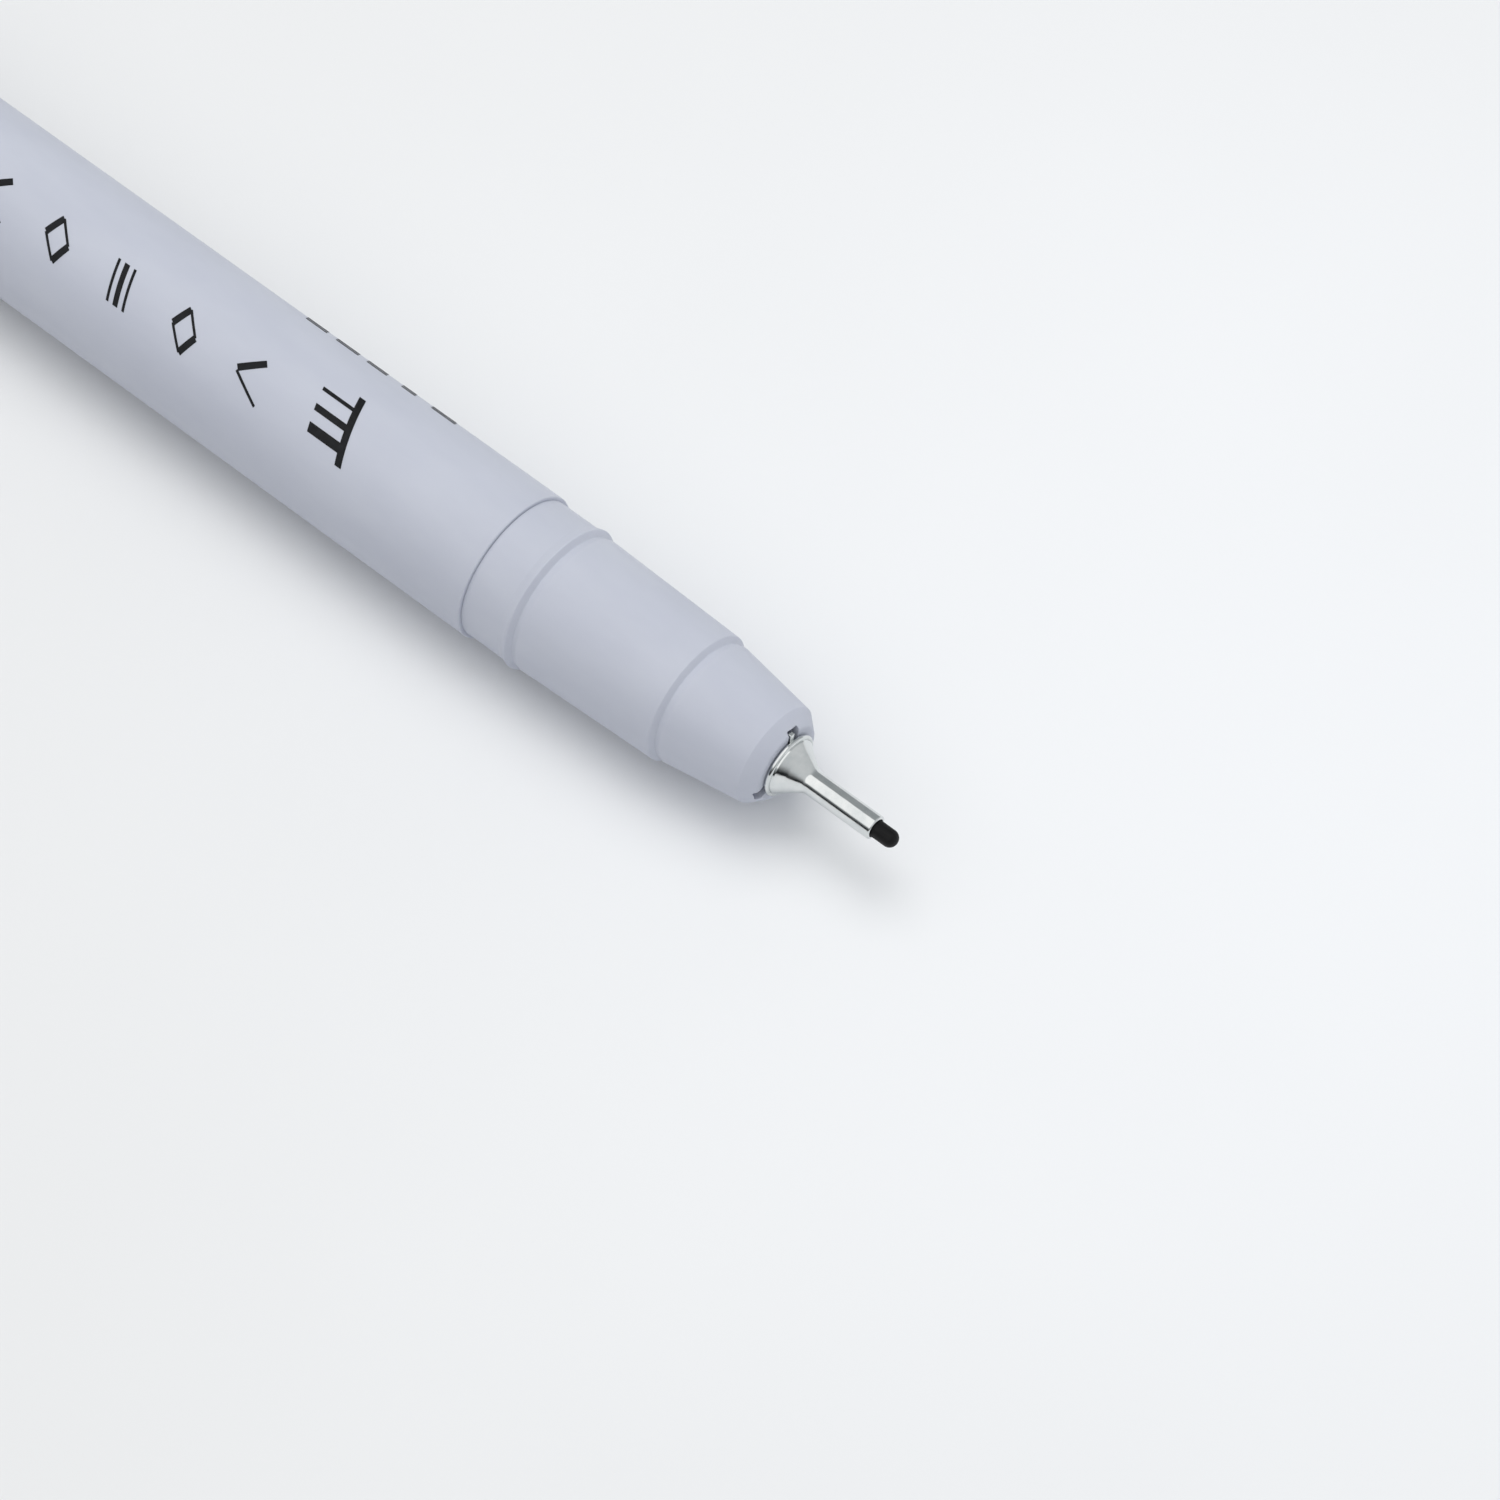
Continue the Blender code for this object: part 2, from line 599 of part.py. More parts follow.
PEN_AXIS = guide("pen_axis", None, (MIDDLE, AXIS_SIDE, AXIS_HEIGHT), (0, TILT, 0))
barrel(PEN_AXIS)
grip_section(PEN_AXIS)
nib_sleeve(PEN_AXIS)
nib(PEN_AXIS)
nib_guide(PEN_AXIS)
ink_relay(PEN_AXIS)
relay_holder(PEN_AXIS)
ink_reservoir(PEN_AXIS)
reservoir_film(PEN_AXIS)
tail_plug(PEN_AXIS)

CAP_AXIS = guide("cap_axis", PEN_AXIS, (-BARREL_LENGTH - SEAM, 0, 0), (CAP_TURN, 0, 0))
cap_shell(CAP_AXIS)
cap_liner(CAP_AXIS)
cap_crown(CAP_AXIS)

HINGE = (-CAP_LENGTH + CROWN_THICKNESS + CLIP_THICKNESS / 2, CAP_RADIUS + CLIP_PIVOT_RISE)
CLIP_PIVOT = guide("clip_pivot", CAP_AXIS, (HINGE[0], 0, HINGE[1]))
pocket_clip(CLIP_PIVOT, HINGE)

for piece in list(PARTS.objects):
    if piece.type == "MESH":
        apply_and_shade(piece)
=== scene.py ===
"""The looks of a fibre-tip technical pen that lies on a pale table with its cap posted on its tail.

Each sub-assembly is a class that turns, bends or cuts its own pieces round the pen's axis and dresses them.
Stations are distances along that axis from the barrel's front rim, positive towards the nib; the cap and
its clip count theirs from the cap's mouth. Sizes are in millimetres where nothing else is said, and
PenAxis.place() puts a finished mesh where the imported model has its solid.
"""

import json
import logging
import math
from dataclasses import dataclass, field
from enum import Enum

import bmesh
import bpy
from mathutils import Matrix, Vector


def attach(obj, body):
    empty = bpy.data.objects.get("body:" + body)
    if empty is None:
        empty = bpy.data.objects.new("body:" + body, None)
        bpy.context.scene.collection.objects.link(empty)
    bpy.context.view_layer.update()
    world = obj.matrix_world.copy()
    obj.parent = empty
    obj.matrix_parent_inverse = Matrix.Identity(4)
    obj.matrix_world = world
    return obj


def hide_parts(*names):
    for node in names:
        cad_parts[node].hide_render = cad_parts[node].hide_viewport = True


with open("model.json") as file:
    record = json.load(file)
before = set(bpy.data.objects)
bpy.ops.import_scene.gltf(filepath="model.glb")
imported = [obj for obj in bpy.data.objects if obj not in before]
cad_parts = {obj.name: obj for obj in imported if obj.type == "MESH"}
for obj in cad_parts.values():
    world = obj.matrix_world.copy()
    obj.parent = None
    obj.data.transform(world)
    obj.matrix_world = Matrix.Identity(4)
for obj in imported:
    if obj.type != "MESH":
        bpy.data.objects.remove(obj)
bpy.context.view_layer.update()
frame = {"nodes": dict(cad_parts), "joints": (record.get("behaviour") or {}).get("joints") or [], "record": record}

LOG = logging.getLogger("technical_pen")
MM = 0.001
ROUND_STEPS = 192
ARC_STEP = math.radians(9)
SHARP_ANGLE = math.radians(32)
CORNER_STEPS = 4
WELD = 1e-4  # mm
NOISE_SPAN = (0.3, 0.7)  # the noise rarely leaves it

Triple = tuple[float, float, float]
Corner = Triple  # station or x, radius or y, and fillet
Point = tuple[float, float]
Socket = bpy.types.NodeSocket
Obj = bpy.types.Object


class Body(Enum):
    """The rigid bodies that pieces ride on."""

    PEN = "pen"
    CAP = "cap"
    CLIP = "clip"


class Slot(Enum):
    """The names of the record's material slots, which each piece built here is passed with."""

    PLASTIC = "lilac_plastic"
    STEEL = "polished_steel"
    NIB = "black_fibre"
    NATURAL = "natural_plastic"


class Mark(Enum):
    """The shapes of the printed marks."""

    GAUGE = "gauge"
    CHEVRON = "chevron"
    RHOMBUS = "rhombus"
    BARS = "bars"


def hex_to_linear(code: str) -> tuple[float, float, float, float]:
    """Turns an sRGB hex colour into a linear one.

    Args:
        code: the colour as "#RRGGBB".

    Returns:
        Red, green, blue and a full alpha.
    """
    channels = [int(code[i:i + 2], 16) / 255 for i in (1, 3, 5)]
    linear = [c / 12.92 if c <= 0.04045 else ((c + 0.055) / 1.055) ** 2.4 for c in channels]
    return (*linear, 1.0)


def feed(tree: bpy.types.NodeTree, node: bpy.types.Node, inputs: dict) -> None:
    """Links or sets a node's inputs.

    Args:
        tree: the node tree.
        node: the node.
        inputs: input name or number to a value, or to the socket that feeds it.
    """
    for key, value in inputs.items():
        if isinstance(value, Socket):
            tree.links.new(value, node.inputs[key])
        else:
            node.inputs[key].default_value = value


def add_node(tree: bpy.types.NodeTree, kind: str, inputs: dict | None = None,
             **settings: object) -> bpy.types.Node:
    """Adds a node to a tree.

    Args:
        tree: the node tree.
        kind: the node's type name.
        inputs: input name or number to a value, or to the socket that feeds it.
        **settings: the node's own properties.

    Returns:
        The new node.
    """
    node = tree.nodes.new(kind)
    for name, value in settings.items():
        setattr(node, name, value)
    feed(tree, node, inputs or {})
    return node


# ---------------------------------------------------------------- finishes


@dataclass(frozen=True)
class Grain:
    """A soft random pattern: a patch's size, how much longer it is along X, Y and Z, and its octaves."""

    size_mm: float
    stretch: Triple = (1, 1, 1)
    octaves: float = 3

    def spread(self, tree: bpy.types.NodeTree, place: Socket, low: float = 0.0,
               high: float = 1.0) -> Socket:
        """Draws the pattern between two numbers.

        Args:
            tree: the node tree.
            place: the coordinates in metres, with X along the pen.
            low: the number at one end.
            high: the number at the other.

        Returns:
            The socket that carries the pattern.
        """
        squeezed = add_node(tree, "ShaderNodeMapping",
                            {"Vector": place, "Scale": tuple(1 / s for s in self.stretch)})
        noise = add_node(tree, "ShaderNodeTexNoise", {
            "Vector": squeezed.outputs[0], "Scale": 1 / (self.size_mm * MM), "Detail": self.octaves})
        return add_node(tree, "ShaderNodeMapRange", {
            "Value": noise.outputs[0], "From Min": NOISE_SPAN[0], "From Max": NOISE_SPAN[1],
            "To Min": low, "To Max": high}).outputs[0]


@dataclass(frozen=True)
class Finish:
    """A surface, as a Principled material that each subclass details."""

    name: str

    def material(self) -> bpy.types.Material:
        """The finish's material, made on first use."""
        made = bpy.data.materials.get(self.name)
        if made is None:
            made = bpy.data.materials.new(self.name)
            made.use_nodes = True
            self.detail(made.node_tree)
        return made

    def detail(self, tree: bpy.types.NodeTree) -> None:
        """Feeds the material's Principled shader."""
        raise NotImplementedError


@dataclass(frozen=True)
class GrainedFinish(Finish):
    """A finish whose colour and roughness drift in patches over small bumps.

    Each bump has its depth in millimetres, and fixed holds the shader inputs that are the same all over.
    """

    colours: tuple[str, str]
    drift: Grain
    roughness: tuple[float, float]
    wear: Grain
    bumps: tuple[tuple[Grain, float], ...]
    fixed: tuple[tuple[str, object], ...] = ()

    def tint(self, tree: bpy.types.NodeTree, place: Socket) -> Socket | tuple[float, ...]:
        """The base colour, which drifts between two or is one all over."""
        first, second = (hex_to_linear(code) for code in self.colours)
        if first == second:
            return first
        return add_node(tree, "ShaderNodeMix", {0: self.drift.spread(tree, place), 6: first, 7: second},
                        data_type="RGBA").outputs[2]

    def relief(self, tree: bpy.types.NodeTree, place: Socket) -> Socket:
        """The normal, with the bumps stacked on it."""
        below = {}
        for grain, depth_mm in self.bumps:
            bump = add_node(tree, "ShaderNodeBump", {
                "Height": grain.spread(tree, place), "Distance": depth_mm * MM, "Strength": 1.0, **below})
            below = {"Normal": bump.outputs[0]}
        return below["Normal"]

    def detail(self, tree: bpy.types.NodeTree) -> None:
        """Feeds the material's Principled shader."""
        place = add_node(tree, "ShaderNodeTexCoord").outputs["Object"]
        feed(tree, tree.nodes["Principled BSDF"], {
            "Base Color": self.tint(tree, place),
            "Roughness": self.wear.spread(tree, place, *self.roughness),
            "Normal": self.relief(tree, place),
            **dict(self.fixed),
        })


@dataclass(frozen=True)
class MouldedPolypropylene(GrainedFinish):
    """Polypropylene moulded in a spark-eroded tool.

    The eye sees an even pigmented body, a satin grain that spreads highlights, and faint sink waves over
    the thick places. The real grain is about 0.04 mm and is drawn at 0.11 mm so that it shows.
    """

    name: str = "polypropylene_satin_lilac_grey"
    colours: tuple[str, str] = ("#BEC2CF", "#C3C7D3")
    drift: Grain = Grain(2.5, (3, 1, 1))
    roughness: tuple[float, float] = (0.46, 0.56)
    wear: Grain = Grain(1.4, (2, 1, 1))
    bumps: tuple[tuple[Grain, float], ...] = (
        (Grain(6.0, (2.5, 1, 1), 0), 0.012), (Grain(0.11, octaves=1), 0.002))
    fixed: tuple[tuple[str, object], ...] = (
        ("IOR", 1.49), ("Subsurface Weight", 0.12), ("Subsurface Radius", (1.0, 0.95, 1.1)),
        ("Subsurface Scale", 0.6 * MM))


@dataclass(frozen=True)
class NaturalPolypropylene(GrainedFinish):
    """Unpigmented polypropylene, as the inner cap is moulded in: milky, waxy and slightly see-through.

    Its tool grain of 0.05 mm is drawn at 0.14 mm so that it shows.
    """

    name: str = "polypropylene_natural"
    colours: tuple[str, str] = ("#DEDDD5", "#E9E8E2")
    drift: Grain = Grain(1.8)
    roughness: tuple[float, float] = (0.34, 0.48)
    wear: Grain = Grain(0.9)
    bumps: tuple[tuple[Grain, float], ...] = ((Grain(0.14, octaves=1), 0.0015),)
    fixed: tuple[tuple[str, object], ...] = (
        ("IOR", 1.49), ("Subsurface Weight", 0.4), ("Subsurface Scale", 1.2 * MM))


@dataclass(frozen=True)
class DrawnSteel(GrainedFinish):
    """Stainless steel tube, deep drawn and tumbled: nearly a mirror, with fine scores along it.

    The die's real scores are about 0.02 mm wide and are drawn at 0.12 mm so that they show.
    """

    name: str = "stainless_steel_drawn"
    colours: tuple[str, str] = ("#D2D6D6", "#E2E4E3")
    drift: Grain = Grain(0.8)
    roughness: tuple[float, float] = (0.07, 0.16)
    wear: Grain = Grain(0.35, (4, 1, 1))
    bumps: tuple[tuple[Grain, float], ...] = ((Grain(0.12, (5, 1, 1), 2), 0.0006),)
    fixed: tuple[tuple[str, object], ...] = (("Metallic", 1.0),)


@dataclass(frozen=True)
class RolledSteel(GrainedFinish):
    """Stainless spring strip, rolled and brushed along its length: a soft, drawn-out shine.

    The brush lines of about 0.03 mm are drawn at 0.07 mm so that they show.
    """

    name: str = "stainless_spring_strip_brushed"
    colours: tuple[str, str] = ("#B9BEBF", "#CDD0D0")
    drift: Grain = Grain(0.6, (12, 1, 1))
    roughness: tuple[float, float] = (0.16, 0.3)
    wear: Grain = Grain(0.12, (40, 1, 1))
    bumps: tuple[tuple[Grain, float], ...] = ((Grain(0.07, (60, 1, 1), 2), 0.0008),)
    fixed: tuple[tuple[str, object], ...] = (("Metallic", 1.0), ("Anisotropic", 0.4))


@dataclass(frozen=True)
class NibFibre(GrainedFinish):
    """Polyester fibres drawn into a rod and bonded, soaked in black ink: near black, with strands along it.

    The fibres of about 0.02 mm are drawn at 0.06 mm so that they show.
    """

    name: str = "polyester_nib_black"
    colours: tuple[str, str] = ("#060607", "#0F0F11")
    drift: Grain = Grain(0.07, (10, 1, 1))
    roughness: tuple[float, float] = (0.5, 0.68)
    wear: Grain = Grain(0.12, (6, 1, 1))
    bumps: tuple[tuple[Grain, float], ...] = ((Grain(0.06, (12, 1, 1), 2), 0.004),)
    fixed: tuple[tuple[str, object], ...] = (("Specular IOR Level", 0.25),)


@dataclass(frozen=True)
class InkedFelt(GrainedFinish):
    """Acetate fibre bundled lengthwise and full of ink: matt, stranded and almost black.

    The fibres of about 0.03 mm are drawn at 0.12 mm so that they show.
    """

    name: str = "acetate_fibre_inked"
    colours: tuple[str, str] = ("#15151B", "#2B2B33")
    drift: Grain = Grain(0.2, (30, 1, 1))
    roughness: tuple[float, float] = (0.75, 0.95)
    wear: Grain = Grain(0.6)
    bumps: tuple[tuple[Grain, float], ...] = ((Grain(0.12, (40, 1, 1)), 0.03),)


@dataclass(frozen=True)
class WrapFilm(GrainedFinish):
    """Polyester film wound round the ink store: clear, thin and glossy, with lengthwise creases."""

    name: str = "polyester_film_clear"
    colours: tuple[str, str] = ("#DDE3E6", "#DDE3E6")
    drift: Grain = Grain(1.5)
    roughness: tuple[float, float] = (0.08, 0.22)
    wear: Grain = Grain(1.5, (8, 1, 1))
    bumps: tuple[tuple[Grain, float], ...] = ((Grain(2.0, (20, 1, 1)), 0.03),)
    fixed: tuple[tuple[str, object], ...] = (("Alpha", 0.5), ("IOR", 1.57))


@dataclass(frozen=True)
class PadPrintInk(GrainedFinish):
    """Black pad-printing ink, wiped on by a silicone pad: satin, with faint thin spots.

    The spots of about 0.05 mm are drawn at 0.1 mm and larger so that they show.
    """

    name: str = "pad_print_ink_black"
    colours: tuple[str, str] = ("#08090C", "#14161B")
    drift: Grain = Grain(0.35)
    roughness: tuple[float, float] = (0.5, 0.64)
    wear: Grain = Grain(0.3)
    bumps: tuple[tuple[Grain, float], ...] = ((Grain(0.1), 0.0015),)
    fixed: tuple[tuple[str, object], ...] = (("Specular IOR Level", 0.3),)


@dataclass(frozen=True)
class StudioPaper(Finish):
    """Matt white backdrop paper with a pool of light painted into its colour: brightest beside the pen and falling
    off softly round it to a painted shade.
    """

    name: str = "backdrop_paper_white_painted_light"
    # the bright middle of the painted pool of light, then the painted shade that it falls off to
    colour: str = "#EFF1F4"
    shade_colour: str = "#E6E7E8"
    tooth_colour: str = "#FFFFFF"
    tooth_shade_colour: str = "#FCFCFC"
    tooth: Grain = Grain(60)
    # the middle and the reach of the pool of light painted on the paper, in metres
    painted_light_centre: Triple = (0.1, 0.03, 0.0)
    painted_light_reach: float = 0.12
    roughness: float = 0.9
    specular: float = 0.2

    def detail(self, tree: bpy.types.NodeTree) -> None:
        """Feeds the material's Principled shader."""
        place = add_node(tree, "ShaderNodeTexCoord").outputs["Object"]
        # Painted light: the colour goes from the painted pool's bright middle to the painted shade with distance
        # from a point beside the pen.
        away = add_node(tree, "ShaderNodeVectorMath", {0: place, 1: self.painted_light_centre}, operation="DISTANCE")
        painted_light_falloff = add_node(tree, "ShaderNodeMapRange", {
            "Value": away.outputs["Value"], "From Min": 0.0, "From Max": self.painted_light_reach},
            interpolation_type="SMOOTHSTEP")
        tooth = self.tooth.spread(tree, place)
        even, toothed = (
            add_node(tree, "ShaderNodeMix", {0: part, 6: hex_to_linear(a), 7: hex_to_linear(b)},
                     data_type="RGBA").outputs[2]
            for part, a, b in ((painted_light_falloff.outputs[0], self.colour, self.shade_colour),
                               (tooth, self.tooth_shade_colour, self.tooth_colour)))
        paper = add_node(tree, "ShaderNodeMix", {0: 1.0, 6: even, 7: toothed}, data_type="RGBA",
                         blend_type="MULTIPLY")
        feed(tree, tree.nodes["Principled BSDF"], {
            "Base Color": paper.outputs[2], "Roughness": self.roughness,
            "Specular IOR Level": self.specular})


# ---------------------------------------------------------------- shape tools


@dataclass(frozen=True)
class PenAxis:
    """The pen's axis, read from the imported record: the cap pulls off along it, square to its end face."""

    length_behind: float = 126.12  # from the barrel's front rim to the cap's end face

    @staticmethod
    def joint(name: str) -> dict:
        """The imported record's entry for a joint."""
        return next(j for j in frame["joints"] if j["name"] == name)

    @property
    def matrix(self) -> Matrix:
        """The placing of a mesh made with X along the axis and its origin at the barrel's front rim."""
        pull = self.joint("cap_pull")
        end_face = next(m for m in frame["record"]["mounts"] if m["name"] == "cap_end_face")
        along = -Vector(pull["axis"]).normalized()
        across = Vector((0, 1, 0))
        up = along.cross(across)
        rim = Vector(end_face["pos_m"]) + along * self.length_behind * MM
        return Matrix.Translation(rim) @ Matrix((along, across, up)).transposed().to_4x4()

    @property
    def cap_turn(self) -> float:
        """The turn of the cap that brings its clip from the top to where the record hinges it."""
        hinge = self.matrix.inverted() @ Vector(self.joint("clip_flex")["pos_m"])
        return math.atan2(-hinge.y, hinge.z)

    def place(self, piece: Obj, turned_by: float = 0) -> Obj:
        """Moves a piece from the bench to the pen.

        Args:
            piece: the piece.
            turned_by: its turn about the axis, from +Y towards +Z.

        Returns:
            The piece.
        """
        piece.matrix_world = self.matrix @ Matrix.Rotation(turned_by, 4, "X")
        return piece


AXIS = PenAxis()


def rounded(corners: list[Corner], closed: bool = True) -> list[Vector]:
    """Rounds a polygon's corners with arcs.

    Args:
        corners: x, y and fillet radius of each.
        closed: whether the last corner joins the first.

    Returns:
        The outline's points.
    """
    outline = []
    for i, (x, y, fillet) in enumerate(corners):
        here = Vector((x, y))
        if not fillet or (not closed and i in (0, len(corners) - 1)):
            outline.append(here)
            continue
        back = (Vector(corners[i - 1][:2]) - here).normalized()
        on = (Vector(corners[(i + 1) % len(corners)][:2]) - here).normalized()
        half = back.angle(on) / 2
        centre = here + (back + on).normalized() * (fillet / math.sin(half))
        spoke = here + back * (fillet / math.tan(half)) - centre
        swing = spoke.angle_signed(here + on * (fillet / math.tan(half)) - centre)
        steps = max(3, math.ceil(abs(swing) / ARC_STEP))
        outline += [centre + Matrix.Rotation(-swing * k / steps, 2) @ spoke for k in range(steps + 1)]
    return outline


def shade(mesh: bpy.types.Mesh) -> None:
    """Shades a mesh smooth up to its sharp edges."""
    mesh.shade_smooth()
    mesh.set_sharp_from_angle(angle=SHARP_ANGLE)


def mesh_object(name: str, shape: bmesh.types.BMesh) -> Obj:
    """Makes an object of a bmesh, shaded smooth up to its sharp edges.

    Args:
        name: the piece's name.
        shape: its mesh in millimetres, which is freed.

    Returns:
        The object, in metres.
    """
    bmesh.ops.scale(shape, vec=(MM, MM, MM), verts=shape.verts)
    bmesh.ops.recalc_face_normals(shape, faces=shape.faces)
    mesh = bpy.data.meshes.new(name)
    shape.to_mesh(mesh)
    shape.free()
    shade(mesh)
    piece = bpy.data.objects.new(name, mesh)
    bpy.context.scene.collection.objects.link(piece)
    return piece


def turn(corners: list[Corner], steps: int = ROUND_STEPS) -> bmesh.types.BMesh:
    """Turns a closed (station, radius) outline round the axis.

    Args:
        corners: the outline's corners with their fillets.
        steps: the facets round the axis.

    Returns:
        A closed mesh in millimetres.
    """
    shape = bmesh.new()
    outline = rounded(corners)
    points = [shape.verts.new((p.x, 0, p.y)) for p in outline]
    edges = [shape.edges.new((a, b)) for a, b in zip(points, points[1:] + points[:1]) if a.co.z or b.co.z]
    bmesh.ops.spin(shape, geom=points + edges, cent=(0, 0, 0), axis=(1, 0, 0), angle=2 * math.pi,
                   steps=steps, use_merge=True)
    bmesh.ops.remove_doubles(shape, verts=shape.verts, dist=WELD)
    return shape


def block(size: Triple, middle: Triple, turned_by: float = 0, corner: float = 0) -> bmesh.types.BMesh:
    """A block for cutting or joining.

    Args:
        size: its sides in millimetres.
        middle: its middle before it is turned.
        turned_by: its angle round the pen, from +Y towards +Z.
        corner: the radius on its edges.

    Returns:
        A closed mesh in millimetres.
    """
    shape = bmesh.new()
    bmesh.ops.create_cube(shape, size=1)
    bmesh.ops.scale(shape, vec=size, verts=shape.verts)
    if corner:
        bmesh.ops.bevel(shape, geom=shape.edges[:], offset=corner, segments=CORNER_STEPS, affect="EDGES",
                        profile=0.5)
    bmesh.ops.translate(shape, vec=middle, verts=shape.verts)
    bmesh.ops.rotate(shape, matrix=Matrix.Rotation(turned_by, 3, "X"), verts=shape.verts)
    return shape


def combine(piece: Obj, tools: list[bmesh.types.BMesh], operation: str) -> Obj:
    """Cuts or joins a piece with tools, for good.

    Args:
        piece: the piece.
        tools: closed meshes in the piece's own space.
        operation: DIFFERENCE or UNION.

    Returns:
        The piece.
    """
    made = [mesh_object(f"{piece.name}_tool_{i}", tool) for i, tool in enumerate(tools)]
    for tool in made:
        step = piece.modifiers.new(tool.name, "BOOLEAN")
        step.operation = operation
        step.object = tool
    graph = bpy.context.evaluated_depsgraph_get()
    mesh = bpy.data.meshes.new_from_object(piece.evaluated_get(graph))
    piece.modifiers.clear()
    piece.data = mesh
    shade(mesh)
    for tool in made:
        bpy.data.objects.remove(tool, do_unlink=True)
    return piece


def fit_out(piece: Obj, body: Body, slot: Slot, finish: Finish, *nodes: str) -> Obj:
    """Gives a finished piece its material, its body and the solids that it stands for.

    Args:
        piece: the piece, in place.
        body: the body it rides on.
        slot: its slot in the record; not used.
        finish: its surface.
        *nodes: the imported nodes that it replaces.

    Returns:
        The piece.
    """
    piece.data.materials.clear()
    piece.data.materials.append(finish.material())
    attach(piece, body.value)
    if nodes:
        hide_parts(*nodes)
    LOG.info("%s: %d faces on body %s", piece.name, len(piece.data.polygons), body.value)
    return piece


def evenly(count: int, first: float = 0) -> list[float]:
    """Evenly spaced angles round the pen, from the first."""
    return [first + 2 * math.pi * k / count for k in range(count)]


# ---------------------------------------------------------------- sub-assemblies


@dataclass
class Barrel:
    """The tube that the hand rests on, with ribs inside that centre the ink store."""

    radius: float = 5.0
    bore: float = 4.1
    length: float = 90.0
    rim_round: float = 0.11
    bore_round: float = 0.1
    rib_count: int = 4
    rib_root: float = 0.3
    rib_width: float = 0.7
    rib_inner: float = 3.85
    rib_front: float = -9.0
    rib_rear: float = -79.0
    finish: Finish = field(default_factory=MouldedPolypropylene)

    def build(self) -> Obj:
        """Turns the tube and joins the ribs to its bore."""
        tube = mesh_object("barrel_tube", turn([
            (0, self.bore, self.bore_round),
            (0, self.radius, self.rim_round),
            (-self.length, self.radius, self.rim_round),
            (-self.length, self.bore, self.bore_round),
        ]))
        outer = self.bore + self.rib_root
        size = (self.rib_front - self.rib_rear, outer - self.rib_inner, self.rib_width)
        middle = ((self.rib_front + self.rib_rear) / 2, (outer + self.rib_inner) / 2, 0)
        return combine(tube, [block(size, middle, a) for a in evenly(self.rib_count, math.pi / 4)], "UNION")

    def dress(self, tube: Obj) -> None:
        """Places and finishes the tube."""
        fit_out(AXIS.place(tube), Body.PEN, Slot.PLASTIC, self.finish, "barrel")


@dataclass
class GripSection:
    """The front moulding: spigot, collar, snap bead, tapered grip, rounded step, cone and vented nose.

    A shallow groove follows the bead and the step, so that a soft dark band shows beside each edge.
    """

    spigot_radius: float = 4.05
    spigot_length: float = 8.0
    seam: float = 0.015
    collar_radius: float = 4.77
    bead_start: float = 2.9
    bead_crest: float = 3.48
    bead_end: float = 3.8
    bead_radius: float = 4.95
    groove_depth: float = 0.12
    groove_width: float = 0.4
    grip_start_radius: float = 4.68
    grip_end_radius: float = 4.375
    grip_end: float = 14.2
    cone_start_radius: float = 4.12
    step_end: float = 14.5
    cone_end_radius: float = 3.35
    cone_end: float = 20.25
    face: float = 21.15
    face_radius: float = 2.55
    bore: float = 1.55
    chamber: float = 2.9
    chamber_end: float = 9.0
    chamber_taper: float = 1.3
    vent_count: int = 3
    vent_angle: float = math.radians(74)
    vent_width: float = 0.95
    vent_depth: float = 0.95
    vent_reach: float = 2.74
    vent_into_bore: float = 0.35
    vent_round: float = 0.12
    finish: Finish = field(default_factory=MouldedPolypropylene)

    def outline(self) -> list[Corner]:
        """The section's corners, from its nose back along the outside and forward along the bore."""
        return [
            (self.face, self.bore, 0.05),
            (self.face, self.face_radius, 0.3),
            (self.cone_end, self.cone_end_radius, 0.15),
            (self.step_end + self.groove_width, self.cone_start_radius, 0.3),
            (self.step_end, self.cone_start_radius - self.groove_depth, 0.12),
            (self.grip_end, self.grip_end_radius, 0.13),
            (self.bead_end + self.groove_width, self.grip_start_radius, 0.3),
            (self.bead_end, self.grip_start_radius - self.groove_depth, 0.1),
            (self.bead_crest, self.bead_radius, 0.12),
            (self.bead_start, self.collar_radius, 0.3),
            (self.seam, self.collar_radius, 0.02),
            (self.seam, self.spigot_radius, 0),
            (-self.spigot_length, self.spigot_radius, 0.25),
            (-self.spigot_length, self.chamber, 0.1),
            (self.chamber_end, self.chamber, 0),
            (self.chamber_end + self.chamber_taper, self.bore, 0),
        ]

    def build(self) -> Obj:
        """Turns the moulding and cuts its vents."""
        moulding = mesh_object("grip_moulding", turn(self.outline()))
        inner = self.bore - self.vent_into_bore
        size = (self.vent_depth * 2, self.vent_reach - inner, self.vent_width)
        middle = (self.face, (inner + self.vent_reach) / 2, 0)
        vents = [block(size, middle, a, self.vent_round) for a in evenly(self.vent_count, self.vent_angle)]
        return combine(moulding, vents, "DIFFERENCE")

    def dress(self, moulding: Obj) -> None:
        """Places and finishes the moulding."""
        fit_out(AXIS.place(moulding), Body.PEN, Slot.PLASTIC, self.finish, "grip_section")


